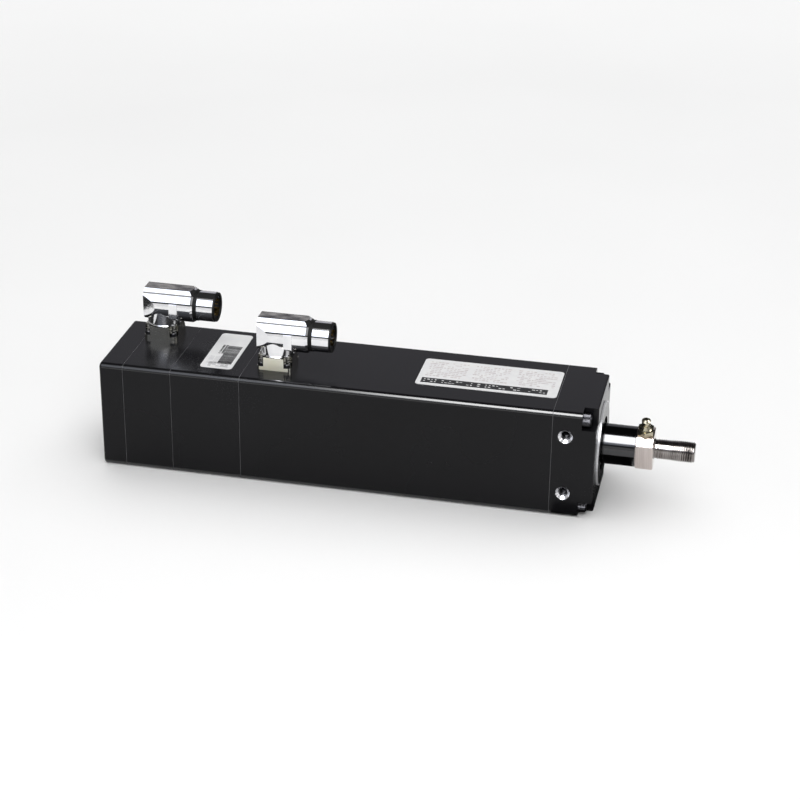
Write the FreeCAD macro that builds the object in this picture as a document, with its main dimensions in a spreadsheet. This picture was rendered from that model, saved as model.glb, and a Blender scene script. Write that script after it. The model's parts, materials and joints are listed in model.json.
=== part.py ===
import FreeCAD, Part
import math
import os
import Sketcher

# Electric cylinder: a square servo housing whose hollow rotor turns a ball screw,
# so that the nut pushes a round rod out of the front.
# Millimetres. X runs along the rod, Z is up, and the origin is the rod axis at the front face.

DIMENSIONS = [
    # housing sections, from the rear to the front
    ("body_width", 84.0),
    ("edge_round", 3.6),
    ("rear_len", 18.5),
    ("feedback_len", 37.0),
    ("stator_len", 234.0),
    ("front_len", 31.5),
    ("gasket_thick", 0.4),
    ("gasket_inset", 0.2),
    ("rear_edge_round", 1.8),
    ("front_edge_round", 1.2),
    ("cavity_wall", 9.0),
    ("cover_wall", 9.0),
    ("partition", 5.0),
    ("shaft_room", 6.0),
    ("stator_wall", 5.0),
    # clearances
    ("seat_gap", 0.05),
    ("run_gap", 0.08),
    ("roller_gap", 0.3),
    ("part_gap", 0.4),
    ("hole_slack", 0.6),
    # front housing
    ("notch_len", 10.5),
    ("pilot_d", 63.0),
    ("pilot_len", 1.5),
    ("side_hole_back", 22.0),
    ("side_hole_half", 23.0),
    ("side_hole_d", 6.8),
    ("side_hole_deep", 14.0),
    ("side_hole_bevel", 1.9),
    ("lip_gap", 1.5),
    ("lip_len", 2.0),
    ("bush_wall", 3.0),
    ("bush_len", 14.0),
    ("seal_wall", 5.0),
    ("seal_len", 4.5),
    # housing screws
    ("corner_edge", 7.1),
    ("corner_d", 6.0),
    ("corner_head_d", 10.0),
    ("corner_head_len", 6.0),
    ("corner_key", 5.0),
    ("screw_hold", 14.0),
    ("tie_d", 5.0),
    ("tie_head_d", 8.5),
    ("tie_head_len", 5.0),
    ("tie_seat", 6.5),
    ("tie_key", 4.0),
    # stator
    ("core_len", 120.0),
    ("core_back", 41.0),
    ("air_gap", 0.7),
    ("tip_share", 0.22),
    ("iron_share", 0.21),
    ("slot_wide", 8.0),
    ("slot_mouth", 2.6),
    ("end_turn", 12.0),
    # rotor
    ("nut_room", 1.5),
    ("tube_wall", 3.5),
    ("tube_step", 0.5),
    ("magnet_thick", 2.5),
    ("magnet_span", 40.0),
    ("hub_flange", 4.0),
    ("hub_spigot", 8.0),
    ("screw_d", 20.0),
    ("screw_len", 206.0),
    ("journal_d", 16.0),
    ("nut_thread_d", 15.0),
    ("nut_thread_len", 10.0),
    ("brake_shaft_d", 12.0),
    ("encoder_shaft_d", 8.0),
    ("lock_nut_wall", 5.0),
    ("lock_nut_len", 8.0),
    # screw bearing
    ("thrust_inner", 6.75),
    ("thrust_outer", 6.25),
    ("roller_d", 6.0),
    ("roller_len", 7.0),
    ("thrust_end_gap", 0.65),
    ("thrust_mid_gap", 1.67),
    ("retainer_lap", 6.0),
    ("retainer_len", 4.0),
    ("retainer_screw_out", 5.0),
    ("retainer_screw_d", 4.0),
    ("retainer_lip", 0.4),
    # rotor front bearing
    ("front_ring_len", 7.0),
    ("front_inner_wall", 2.1),
    ("front_outer_wall", 1.9),
    ("needle_d", 2.4),
    ("needle_len", 5.0),
    ("cage_thick", 1.0),
    ("cage_slack", 0.2),
    ("cage_rim", 0.8),
    # nut and rod
    ("collar_wall", 2.5),
    ("collar_len", 12.0),
    ("nut_len", 40.0),
    ("nut_start", 4.0),
    ("nut_bevel", 2.0),
    ("rod_d", 30.0),
    ("rod_room", 1.0),
    ("rod_out", 26.0),
    ("end_d", 32.0),
    ("end_len", 13.0),
    ("end_flats", 22.0),
    ("end_turned", 20.0),
    ("end_spigot", 18.0),
    ("end_bevel", 0.6),
    ("stud_d", 16.0),
    ("stud_len", 30.0),
    ("stud_undercut", 1.0),
    ("stud_relief", 2.5),
    ("nipple_key", 11.0),
    ("nipple_seat_deep", 0.8),
    ("nipple_stem_d", 6.0),
    ("nipple_stem_len", 5.0),
    # brake
    ("brake_room", 3.0),
    ("brake_slack", 0.8),
    ("magnet_body_len", 12.0),
    ("lock_nut_gap", 0.5),
    ("coil_wall_out", 6.0),
    ("coil_share", 0.7),
    ("coil_len", 8.0),
    ("armature_lap", 1.0),
    ("armature_len", 3.0),
    ("disc_room", 3.5),
    ("disc_len", 4.0),
    ("disc_hub_wall", 4.0),
    ("disc_hub_len", 8.0),
    ("brake_plate_len", 4.0),
    ("brake_screw_edge", 3.5),
    ("brake_screw_d", 3.0),
    # feedback device
    ("encoder_room", 9.0),
    ("encoder_len", 15.0),
    ("encoder_disc_gap", 3.0),
    ("encoder_disc_len", 2.0),
    ("encoder_hub_wall", 3.0),
    ("encoder_hub_len", 6.0),
    ("board_room", 7.0),
    ("board_len", 1.6),
    ("post_d", 5.0),
    ("post_len", 12.0),
    ("post_edge", 3.5),
    # connectors
    ("feedback_back", 12.5),
    ("feedback_y", 23.0),
    ("power_back", 21.5),
    ("power_y", -10.5),
    ("cable_hole_d", 17.0),
    ("cable_hole_deep", 24.0),
    ("flange_high", 10.0),
    ("flange_foot", 2.6),
    ("flange_wall", 0.9),
    ("flange_edge", 3.1),
    ("scallop_slack", 0.95),
    ("scallop_out", 0.5),
    ("flange_screw_d", 3.0),
    ("flange_head_d", 5.5),
    ("flange_head_len", 3.0),
    ("flange_grip", 3.8),
    ("spigot_d", 20.0),
    ("neck_step", 2.5),
    ("collar_out", 0.6),
    ("collar_edge", 0.5),
    ("neck_bore_d", 15.0),
    ("neck_show", 2.7),
    ("barrel_wide", 26.6),
    ("barrel_back", 13.3),
    ("barrel_front", 26.0),
    ("barrel_step", 0.7),
    ("barrel_nose", 0.8),
    ("barrel_lip", 4.5),
    ("land_wide", 11.0),
    ("land_lean", 3.1),
    ("land_rise", 3.3),
    ("land_round", 0.8),
    ("tail_long", 9.9),
    ("tail_deep", 3.0),
    ("pad_long", 6.3),
    ("pad_high", 11.3),
    ("pad_drop", 1.6),
    ("pad_proud", 0.5),
    ("pad_ahead", 11.1),
    ("seal_ring_d", 23.6),
    ("seal_ring_len", 2.8),
    ("coupling_d", 23.0),
    ("coupling_len", 12.6),
    ("coupling_bore_d", 18.6),
    ("bush_end_d", 22.4),
    ("bush_end_len", 1.4),
    ("socket_deep", 4.4),
    ("insert_gap", 0.1),
    ("insert_len", 16.0),
    ("pin_len", 4.0),
    ("feedback_pin_d", 1.2),
    ("feedback_pin_place", 6.0),
    ("power_pin_d", 2.0),
    ("power_pin_place", 5.2),
    # labels
    ("label_thick", 0.3),
    ("label_round", 3.0),
    ("data_label_long", 105.0),
    ("data_label_wide", 45.0),
    ("data_label_back", 53.8),
    ("data_label_y", 2.4),
    ("code_label_long", 24.6),
    ("code_label_wide", 62.0),
    ("code_label_ahead", 31.2),
    ("code_label_y", 1.6),
]

CORNER_SCREWS = 4
STATOR_SLOTS = 12
ROTOR_MAGNETS = 8
THRUST_ROLLERS = 10
FRONT_NEEDLES = 20
ROLLER_LEAN = math.radians(15)
BRAKE_SCREWS = 3
NUT_SLOTS = 4
FEEDBACK_PINS = 12
POWER_PINS = 6

doc = FreeCAD.newDocument("ElectricCylinder")
sheet = doc.addObject("Spreadsheet::Sheet", "Dims")


class Size:
    """A number together with the sheet formula that it comes from."""

    def __init__(self, number, formula):
        self.number = float(number)
        self.formula = formula

    def __add__(self, other):
        other = as_size(other)
        return Size(self.number + other.number, "(%s + %s)" % (self.formula, other.formula))

    def __sub__(self, other):
        other = as_size(other)
        return Size(self.number - other.number, "(%s - %s)" % (self.formula, other.formula))

    def __mul__(self, other):
        other = as_size(other)
        return Size(self.number * other.number, "(%s * %s)" % (self.formula, other.formula))

    def __truediv__(self, other):
        other = as_size(other)
        return Size(self.number / other.number, "(%s / %s)" % (self.formula, other.formula))

    def __neg__(self):
        return Size(-self.number, "(0 - %s)" % self.formula)


def as_size(value):
    return value if isinstance(value, Size) else Size(value, "%r" % float(value))


class Sheet:
    """Every cell of the sheet as an attribute."""


def fill_sheet():
    cells = Sheet()
    for row, (alias, number) in enumerate(DIMENSIONS, start=1):
        sheet.set("A%d" % row, alias.replace("_", " "))
        sheet.set("B%d" % row, str(number))
        sheet.setAlias("B%d" % row, alias)
        setattr(cells, alias, Size(number, "Dims." + alias))
    doc.recompute()
    return cells


d = fill_sheet()
NONE = Size(0.0, "0")
HALF = d.body_width / 2

# housing bores and screw places follow the outside
d.cavity_d = d.body_width - d.cavity_wall * 2
d.stator_bore_d = d.body_width - d.stator_wall * 2
d.corner_place = HALF - d.corner_edge

# the rod sets the guides round it, and the rotor that runs outside the nut
d.lip_d = d.rod_d + d.lip_gap * 2
d.bush_d = d.rod_d + d.bush_wall * 2
d.seal_d = d.rod_d + d.seal_wall * 2
d.rod_bore_d = d.screw_d + d.rod_room * 2
d.nut_d = d.rod_d + d.collar_wall * 2
d.tube_bore_d = d.nut_d + d.nut_room * 2
d.tube_d = d.tube_bore_d + d.tube_wall * 2
d.tube_front_d = d.tube_d - d.tube_step * 2
d.magnet_d = d.tube_d + d.magnet_thick * 2
d.core_bore_d = d.magnet_d + d.air_gap * 2
d.core_d = d.stator_bore_d - d.seat_gap * 2
CORE_WALL = d.core_d / 2 - d.core_bore_d / 2
d.slot_low = d.core_bore_d / 2 + CORE_WALL * d.tip_share
d.slot_high = d.core_d / 2 - CORE_WALL * d.iron_share
d.stud_relief_d = d.stud_d - d.stud_undercut * 2
d.nipple_seat_r = d.end_d / 2 - d.nipple_seat_deep

# screw bearing: two rows of rollers that lean opposite ways
ROLLER_REACH = d.roller_len * (math.cos(ROLLER_LEAN) / 2) + d.roller_d * (math.sin(ROLLER_LEAN) / 2)
RACE_OFFSET = (d.roller_d / 2 + d.roller_gap) / math.cos(ROLLER_LEAN)
d.thrust_pitch = d.journal_d / 2 + d.thrust_inner
d.thrust_d = (d.thrust_pitch + d.thrust_outer) * 2
d.thrust_row = d.thrust_end_gap + ROLLER_REACH
d.thrust_len = ROLLER_REACH * 4 + d.thrust_end_gap * 2 + d.thrust_mid_gap
d.thrust_mid = d.thrust_len / 2
PITCH_END = d.thrust_pitch - d.thrust_row * math.tan(ROLLER_LEAN)
PITCH_MID = d.thrust_pitch + (d.thrust_mid - d.thrust_row) * math.tan(ROLLER_LEAN)
d.retainer_bore_d = d.thrust_d - d.retainer_lap * 2
d.retainer_screw_place = d.thrust_d / 2 + d.retainer_screw_out
d.retainer_head_d = d.retainer_screw_d * 1.75
d.retainer_d = (d.retainer_screw_place + d.retainer_lip) * 2 + d.retainer_head_d + d.hole_slack

# front bearing: one row of needles round the rotor tube
d.front_race_d = d.tube_front_d + d.front_inner_wall * 2
d.front_pitch_d = d.front_race_d + d.needle_d + d.roller_gap * 2
d.front_land_d = d.front_pitch_d + d.needle_d + d.roller_gap * 2
d.front_ring_d = d.front_land_d + d.front_outer_wall * 2

# brake and feedback device fill their cavities
d.lock_nut_d = d.nut_thread_d + d.lock_nut_wall * 2
d.magnet_body_d = d.cavity_d - d.brake_room * 2
d.magnet_body_bore_d = d.lock_nut_d + d.lock_nut_gap * 2
d.coil_d = d.magnet_body_d - d.coil_wall_out * 2
d.coil_bore_d = d.coil_d - (d.coil_d - d.magnet_body_bore_d) * d.coil_share
d.armature_d = d.magnet_body_d - d.armature_lap * 2
d.brake_screw_place = d.magnet_body_d / 2 - d.brake_screw_edge
d.disc_d = (d.brake_screw_place - d.disc_room) * 2
d.disc_hub_d = d.brake_shaft_d + d.disc_hub_wall * 2
d.shaft_pass_d = d.encoder_shaft_d + d.shaft_room * 2
d.encoder_d = d.cavity_d - d.encoder_room * 2
d.encoder_hub_d = d.encoder_shaft_d + d.encoder_hub_wall * 2
d.post_place = d.encoder_d / 2 - d.post_edge
d.board_d = d.cavity_d - d.board_room * 2
BRAKE_STACK = (
    d.magnet_body_len + d.armature_len + d.disc_len + d.brake_plate_len
    + d.part_gap * 3 + d.brake_screw_d + d.brake_slack
)
d.brake_len = BRAKE_STACK + d.partition + d.thrust_len + d.gasket_thick

# a connector's flange clears its screw heads, and its barrel clears the flange
DIAGONAL = math.sqrt(2)
d.scallop_d = d.flange_head_d + d.scallop_slack * 2
d.scallop_place = (d.spigot_d / 2 + d.run_gap + d.flange_wall + d.scallop_d / 2) / DIAGONAL
d.flange_hole = d.scallop_place - d.scallop_out
d.flange_side = (d.flange_hole + d.flange_edge) * 2
d.neck_d = d.spigot_d + d.neck_step * 2
d.barrel_high = d.flange_high + d.neck_show + d.barrel_wide / 2
d.barrel_bore_d = d.coupling_bore_d + d.barrel_step * 2
d.barrel_lip_d = d.barrel_wide - d.barrel_nose * 2
d.insert_d = d.coupling_bore_d - d.insert_gap * 2

# where each housing section begins
X_FRONT = -d.front_len
X_STATOR = X_FRONT - d.stator_len
X_BRAKE = X_STATOR - d.brake_len
X_FEEDBACK = X_BRAKE - d.feedback_len
X_REAR = X_FEEDBACK - d.rear_len

pieces = []


def part_body(label, x=NONE, y=NONE, z=NONE, turned_by=None):
    """An empty body, placed by formulas and listed for export."""
    body = doc.addObject("PartDesign::Body", label)
    body.Label = label
    body.AllowCompound = True
    place(body, x, y, z, turned_by)
    pieces.append(body)
    return body


def place(thing, x, y, z, turned_by=None):
    turn = FreeCAD.Rotation()
    if turned_by is not None:
        turn = FreeCAD.Rotation(FreeCAD.Vector(1, 0, 0), turned_by.number)
    thing.Placement = FreeCAD.Placement(FreeCAD.Vector(x.number, y.number, z.number), turn)
    for axis, reach in (("x", x), ("y", y), ("z", z)):
        thing.setExpression("Placement.Base." + axis, reach.formula)
    if turned_by is not None:
        thing.setExpression("Placement.Rotation.Angle", turned_by.formula)


def origin_part(body, role):
    return next(feature for feature in body.Origin.OriginFeatures if feature.Role == role)


def sketch_on(body, plane, offset=NONE, lift=NONE):
    """A sketch on one of the body's own planes, moved along its normal and up its own Y axis."""
    sketch = body.newObject("Sketcher::SketchObject", body.Label + "_sketch")
    sketch.AttachmentSupport = (origin_part(body, plane), [""])
    sketch.MapMode = "FlatFace"
    shift = FreeCAD.Vector(0, lift.number, offset.number)
    sketch.AttachmentOffset = FreeCAD.Placement(shift, FreeCAD.Rotation())
    sketch.setExpression("AttachmentOffset.Base.y", lift.formula)
    sketch.setExpression("AttachmentOffset.Base.z", offset.formula)
    return sketch


def bind(sketch, rules):
    """Adds all constraints at once, then ties the sized ones to their formulas."""
    first = sketch.ConstraintCount
    sketch.addConstraint([rule for rule, size in rules])
    for index, (rule, size) in enumerate(rules, start=first):
        if size is not None:
            sketch.setExpression("Constraints[%d]" % index, size.formula)


def hold_point(geometry, end, x, y):
    """Constraints that keep a point at x, y of the sketch."""
    rules = []
    for kind, axis, reach in (("DistanceX", -2, x), ("DistanceY", -1, y)):
        if reach.formula == NONE.formula:
            rules.append((Sketcher.Constraint("PointOnObject", geometry, end, axis), None))
        else:
            rules.append((Sketcher.Constraint(kind, -1, 1, geometry, end, reach.number), reach))
    return rules


def outline(sketch, corners):
    """A closed polygon with every corner held."""
    corners = [(as_size(x) if x else NONE, as_size(y) if y else NONE) for x, y in corners]
    points = [FreeCAD.Vector(x.number, y.number, 0) for x, y in corners]
    first = sketch.GeometryCount
    count = len(points)
    rules = []
    for start, end in zip(points, points[1:] + points[:1]):
        sketch.addGeometry(Part.LineSegment(start, end), False)
    for k in range(count):
        following = first + (k + 1) % count
        rules.append((Sketcher.Constraint("Coincident", first + k, 2, following, 1), None))
    for k, (x, y) in enumerate(corners):
        rules += hold_point(first + k, 1, x, y)
    bind(sketch, rules)
    return sketch


def rectangle(sketch, low_x, low_y, high_x, high_y):
    return outline(sketch, [(low_x, low_y), (high_x, low_y), (high_x, high_y), (low_x, high_y)])


def circle(sketch, x, y, diameter):
    centre = FreeCAD.Vector(x.number, y.number, 0)
    index = sketch.GeometryCount
    sketch.addGeometry(Part.Circle(centre, FreeCAD.Vector(0, 0, 1), diameter.number / 2), False)
    rules = hold_point(index, 3, x, y)
    rules.append((Sketcher.Constraint("Diameter", index, diameter.number), diameter))
    bind(sketch, rules)
    return sketch


def regular(sketch, x, y, across, sides, first_turn=0.0):
    """A regular polygon by its width across flats."""
    reach = across / (2 * math.cos(math.pi / sides))
    turns = [math.radians(first_turn) + 2 * math.pi * k / sides for k in range(sides)]
    return outline(sketch, [(x + reach * math.cos(a), y + reach * math.sin(a)) for a in turns])


def feature(body, kind, sketch, length=None, backwards=False, both=False):
    made = body.newObject("PartDesign::" + kind, body.Label + "_" + kind.lower())
    made.Profile = sketch
    made.Reversed = backwards
    if length is not None:
        made.Length = length.number
        made.setExpression("Length", length.formula)
    if both:
        made.Midplane = True
    sketch.Visibility = False
    return made


def pad(body, sketch, length, backwards=False, both=False):
    return feature(body, "Pad", sketch, length, backwards, both)


def pocket(body, sketch, length, backwards=False, both=False):
    """A cut against the sketch's normal, or along it when backwards."""
    return feature(body, "Pocket", sketch, length, backwards, both)


def spin(body, kind, sketch, axis):
    made = feature(body, kind, sketch)
    made.ReferenceAxis = (sketch, [axis])
    made.Angle = 360
    return made


def turned(label, x, corners, turned_by=None):
    """A turned piece: corners are (along X, radius), from the piece's own rear end."""
    body = part_body(label, x, turned_by=turned_by)
    spin(body, "Revolution", outline(sketch_on(body, "XY_Plane"), corners), "H_Axis")
    return body


def bored(body, corners):
    """A turned hollow about the body's X axis."""
    return spin(body, "Groove", outline(sketch_on(body, "XY_Plane"), corners), "H_Axis")


def ring(label, x, length, outer_d, inner_d):
    inner = inner_d / 2
    outer = outer_d / 2
    return turned(label, x, [(NONE, inner), (length, inner), (length, outer), (NONE, outer)])


def around(body, originals, count, axis="X_Axis"):
    pattern = body.newObject("PartDesign::PolarPattern", body.Label + "_around")
    pattern.Originals = originals
    pattern.Axis = (origin_part(body, axis), [""])
    pattern.Angle = 360
    pattern.Occurrences = count
    body.Tip = pattern
    return pattern


def edges_where(shape, test):
    return ["Edge%d" % k for k, edge in enumerate(shape.Edges, start=1) if test(edge)]


def dressed(body, kind, test, reach):
    """A fillet or chamfer on the edges of the last feature that pass a test."""
    doc.recompute()
    base = body.Tip
    made = body.newObject("PartDesign::" + kind, body.Label + "_" + kind.lower())
    made.Base = (base, edges_where(base.Shape, test))
    sized = "Radius" if kind == "Fillet" else "Size"
    setattr(made, sized, reach.number)
    made.setExpression(sized, reach.formula)
    return made


def near(value, wanted):
    return abs(value - wanted) < 1e-4


def runs_along_x(edge):
    box = edge.BoundBox
    return edge.Curve.TypeId == "Part::GeomLine" and box.YLength < 1e-6 and box.ZLength < 1e-6


def lies_at_x(edge, x):
    return near(edge.BoundBox.XMin, x) and near(edge.BoundBox.XMax, x)


def square_block(label, x, length, side, corner):
    """A square prism along X with rounded long edges."""
    body = part_body(label, x)
    half = side / 2
    pad(body, rectangle(sketch_on(body, "YZ_Plane"), -half, -half, half, half), length)
    dressed(body, "Fillet", runs_along_x, corner)
    return body


def corner_holes(body, diameter, length, offset=NONE, backwards=False):
    """One hole near each corner of the section."""
    sketch = circle(sketch_on(body, "YZ_Plane", offset), d.corner_place, d.corner_place, diameter)
    around(body, [pocket(body, sketch, length, backwards)], CORNER_SCREWS)


def connector_holes(body, along, across):
    """The cable opening in the top face, with the tapped holes of a connector flange round it."""
    hole = circle(sketch_on(body, "XY_Plane", HALF), along, across, d.cable_hole_d)
    pocket(body, hole, d.cable_hole_deep)
    taps = sketch_on(body, "XY_Plane", HALF)
    for x in (along - d.flange_hole, along + d.flange_hole):
        for y in (across - d.flange_hole, across + d.flange_hole):
            circle(taps, x, y, d.flange_screw_d + d.seat_gap * 2)
    pocket(body, taps, d.flange_grip + d.seat_gap * 5)


def make_rear_cover():
    length = d.rear_len - d.gasket_thick
    body = square_block("rear_cover", X_REAR, length, d.body_width, d.edge_round)
    dressed(body, "Fillet", lambda edge: lies_at_x(edge, 0), d.rear_edge_round)
    wall = d.cavity_d / 2
    bored(body, [(d.cover_wall, NONE), (length, NONE), (length, wall), (d.cover_wall, wall)])
    corner_holes(body, d.tie_d + d.hole_slack, length, backwards=True)
    corner_holes(body, d.tie_head_d + d.hole_slack, d.tie_seat, backwards=True)


def make_feedback_housing():
    length = d.feedback_len - d.gasket_thick
    body = square_block("feedback_housing", X_FEEDBACK, length, d.body_width, d.edge_round)
    wall = length - d.partition
    bored(body, [
        (NONE, NONE),
        (length, NONE),
        (length, d.shaft_pass_d / 2),
        (wall, d.shaft_pass_d / 2),
        (wall, d.cavity_d / 2),
        (NONE, d.cavity_d / 2),
    ])
    corner_holes(body, d.tie_d + d.hole_slack, length, backwards=True)
    connector_holes(body, d.feedback_back, d.feedback_y)


# the screw bearing seats in the brake housing, against the wall that carries the brake
WALL_BACK = BRAKE_STACK
SEAT_BACK = WALL_BACK + d.partition


def make_brake_housing():
    length = d.brake_len - d.gasket_thick
    body = square_block("brake_housing", X_BRAKE, length, d.body_width, d.edge_round)
    seat = d.thrust_d / 2 + d.seat_gap
    pass_through = d.retainer_bore_d / 2
    bored(body, [
        (NONE, NONE),
        (length, NONE),
        (length, seat),
        (SEAT_BACK, seat),
        (SEAT_BACK, pass_through),
        (WALL_BACK, pass_through),
        (WALL_BACK, d.cavity_d / 2),
        (NONE, d.cavity_d / 2),
    ])
    corner_holes(body, d.tie_d + d.hole_slack, length, backwards=True)
    taps = circle(
        sketch_on(body, "YZ_Plane", length), d.retainer_screw_place, NONE,
        d.retainer_screw_d + d.seat_gap * 2,
    )
    around(body, [pocket(body, taps, d.screw_hold)], CORNER_SCREWS)


def make_stator_housing():
    length = d.stator_len - d.gasket_thick
    body = square_block("stator_housing", X_STATOR, length, d.body_width, d.edge_round)
    bored(body, [(NONE, NONE), (length, NONE), (length, d.stator_bore_d / 2), (NONE, d.stator_bore_d / 2)])
    deep = d.screw_hold + 2
    corner_holes(body, d.corner_d + d.seat_gap * 2, deep, offset=length)
    corner_holes(body, d.tie_d + d.seat_gap * 2, deep, backwards=True)
    connector_holes(body, d.power_back, d.power_y)


# stations inside the front housing, from its own rear face
FRONT_SEAT = d.front_ring_len + 0.5
BUSH_BACK = FRONT_SEAT + d.lip_len
SEAL_BACK = BUSH_BACK + d.bush_len


def make_front_housing():
    body = square_block("front_housing", X_FRONT, d.front_len, d.body_width, d.edge_round)
    notch = sketch_on(body, "YZ_Plane", d.front_len)
    inner = d.corner_place - d.corner_head_d / 2 - d.part_gap
    rectangle(notch, inner, inner, HALF + 1, HALF + 1)
    around(body, [pocket(body, notch, d.notch_len)], CORNER_SCREWS)
    front = d.front_len.number
    dressed(body, "Fillet", lambda edge: lies_at_x(edge, front), d.front_edge_round)
    pilot = circle(sketch_on(body, "YZ_Plane", d.front_len), NONE, NONE, d.pilot_d)
    pad(body, pilot, d.pilot_len)
    face = d.front_len + d.pilot_len
    seat = d.front_ring_d / 2 + d.seat_gap
    bush = d.bush_d / 2 + d.seat_gap
    seal = d.seal_d / 2 + d.seat_gap
    bored(body, [
        (NONE, NONE),
        (face, NONE),
        (face, seal),
        (SEAL_BACK, seal),
        (SEAL_BACK, bush),
        (BUSH_BACK, bush),
        (BUSH_BACK, d.lip_d / 2),
        (FRONT_SEAT, d.lip_d / 2),
        (FRONT_SEAT, seat),
        (NONE, seat),
    ])
    corner_holes(body, d.corner_d + d.hole_slack, d.front_len, backwards=True)
    taps = sketch_on(body, "XZ_Plane", HALF)
    for z in (-d.side_hole_half, d.side_hole_half):
        circle(taps, d.front_len - d.side_hole_back, z, d.side_hole_d)
    drilled = pocket(body, taps, d.side_hole_deep)
    mirrored = body.newObject("PartDesign::Mirrored", "front_housing_far_side")
    mirrored.Originals = [drilled]
    mirrored.MirrorPlane = (origin_part(body, "XZ_Plane"), [""])
    body.Tip = mirrored
    mouth = d.side_hole_d.number / 2
    side = HALF.number

    def is_mouth(edge):
        box = edge.BoundBox
        on_side = near(abs(box.YMin), side) and near(abs(box.YMax), side)
        return on_side and hasattr(edge.Curve, "Radius") and near(edge.Curve.Radius, mouth)

    dressed(body, "Chamfer", is_mouth, d.side_hole_bevel)


def make_gaskets():
    """Thin seals between the sections, a little smaller than the housing all round."""
    seams = []
    starts = {"rear": X_FEEDBACK, "feedback": X_BRAKE, "brake": X_STATOR, "front": X_FRONT}
    for name, start in starts.items():
        side = d.body_width - d.gasket_inset * 2
        seam = square_block("seam_" + name, start - d.gasket_thick, d.gasket_thick, side, d.edge_round)
        pieces.remove(seam)
        middle = circle(sketch_on(seam, "YZ_Plane"), NONE, NONE, d.stator_bore_d)
        pocket(seam, middle, d.gasket_thick, backwards=True)
        corner_holes(seam, d.corner_d + d.hole_slack, d.gasket_thick, backwards=True)
        seams.append(seam)
    together = doc.addObject("Part::Compound", "section_gaskets")
    together.Label = "section_gaskets"
    together.Links = seams
    pieces.append(together)


def cap_screws(label, x, place_y, place_z, head, shank, key, key_deep, count, points_back=True):
    """Socket head screws along X, repeated round the axis; x is the underside of the heads."""
    head_d, head_len = head
    shank_d, shank_len = shank
    body = part_body(label, x)
    head = circle(sketch_on(body, "YZ_Plane"), place_y, place_z, head_d)
    heads = pad(body, head, head_len, not points_back)
    shank = circle(sketch_on(body, "YZ_Plane"), place_y, place_z, shank_d)
    shanks = pad(body, shank, shank_len, points_back)
    top = head_len if points_back else -head_len
    socket = regular(sketch_on(body, "YZ_Plane", top), place_y, place_z, key, 6)
    sockets = pocket(body, socket, key_deep, not points_back)
    around(body, [heads, shanks, sockets], count)
    return body


def make_housing_screws():
    seat = -d.notch_len
    reach = d.front_len - d.notch_len + d.gasket_thick + d.screw_hold
    cap_screws(
        "corner_screws", seat, d.corner_place, d.corner_place,
        (d.corner_head_d, d.corner_head_len), (d.corner_d, reach),
        d.corner_key, d.corner_head_len / 2, CORNER_SCREWS,
    )
    reach = d.rear_len - d.tie_seat + d.feedback_len + d.brake_len + d.screw_hold
    cap_screws(
        "tie_screws", X_REAR + d.tie_seat, d.corner_place, d.corner_place,
        (d.tie_head_d, d.tie_head_len), (d.tie_d, reach),
        d.tie_key, d.tie_head_len / 2, CORNER_SCREWS, points_back=False,
    )


def make_rod_guides():
    bore = d.rod_d / 2 + d.run_gap
    outer = d.seal_d / 2
    ring("rod_bushing", X_FRONT + BUSH_BACK, d.bush_len, d.bush_d, d.rod_d + d.run_gap * 2)
    seal_x = X_FRONT + SEAL_BACK
    middle = (bore + outer) / 2
    groove = d.seal_len / 3
    turned("rod_seal", seal_x, [
        (NONE, bore),
        (d.seal_len, bore),
        (d.seal_len, outer),
        (NONE, outer),
        (NONE, middle + 1),
        (groove, middle),
        (NONE, middle - 1),
    ])
    lip = d.seal_len / 4
    turned("rod_wiper", seal_x + d.seal_len, [
        (NONE, bore + 1),
        (d.seal_len - lip, bore + 1),
        (d.seal_len, bore),
        (d.seal_len, bore + 0.8),
        (d.seal_len - lip, bore + 2),
        (d.seal_len - lip, outer),
        (NONE, outer),
    ])


X_CORE = X_STATOR + d.core_back


def slot_outline(sketch, shrink):
    """A winding slot beside the +Y axis: a wide bottom and a narrow mouth towards the rotor."""
    half = d.slot_wide / 2 - shrink
    return rectangle(sketch, d.slot_low + shrink, -half, d.slot_high - shrink, half)


def make_stator():
    core = ring("stator_core", X_CORE, d.core_len, d.core_d, d.core_bore_d)
    slot = pocket(core, slot_outline(sketch_on(core, "YZ_Plane"), NONE + 0), d.core_len, backwards=True)
    mouth = sketch_on(core, "YZ_Plane")
    half = d.slot_mouth / 2
    rectangle(mouth, d.core_bore_d / 2 - 1, -half, d.slot_low + 1, half)
    opening = pocket(core, mouth, d.core_len, backwards=True)
    around(core, [slot, opening], STATOR_SLOTS)

    coils = part_body("stator_windings", X_CORE - d.end_turn)
    total = d.core_len + d.end_turn * 2
    bars = pad(coils, slot_outline(sketch_on(coils, "YZ_Plane"), d.seat_gap * 2), total)
    around(coils, [bars], STATOR_SLOTS)
    inner = (d.slot_low + d.seat_gap * 2) * 2
    outer = (d.slot_high - d.seat_gap * 2) * 2
    for offset in (NONE, d.end_turn + d.core_len):
        turn = sketch_on(coils, "YZ_Plane", offset)
        circle(turn, NONE, NONE, outer)
        circle(turn, NONE, NONE, inner)
        pad(coils, turn, d.end_turn)


# stations of the turning parts, set by the screw bearing
X_SEAT = X_BRAKE + SEAT_BACK
INNER_LEN = d.thrust_len + d.retainer_len + d.part_gap
X_HUB = X_SEAT + INNER_LEN
X_TUBE = X_HUB + d.hub_flange
X_SCREW = X_TUBE + d.hub_spigot

# brake stack, counted back from the wall in the brake housing
X_WALL = X_BRAKE + WALL_BACK
X_MAGNET = X_WALL - d.magnet_body_len
X_ARMATURE = X_MAGNET - d.part_gap - d.armature_len
X_DISC = X_ARMATURE - d.part_gap - d.disc_len
X_PLATE = X_DISC - d.part_gap - d.brake_plate_len

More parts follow.
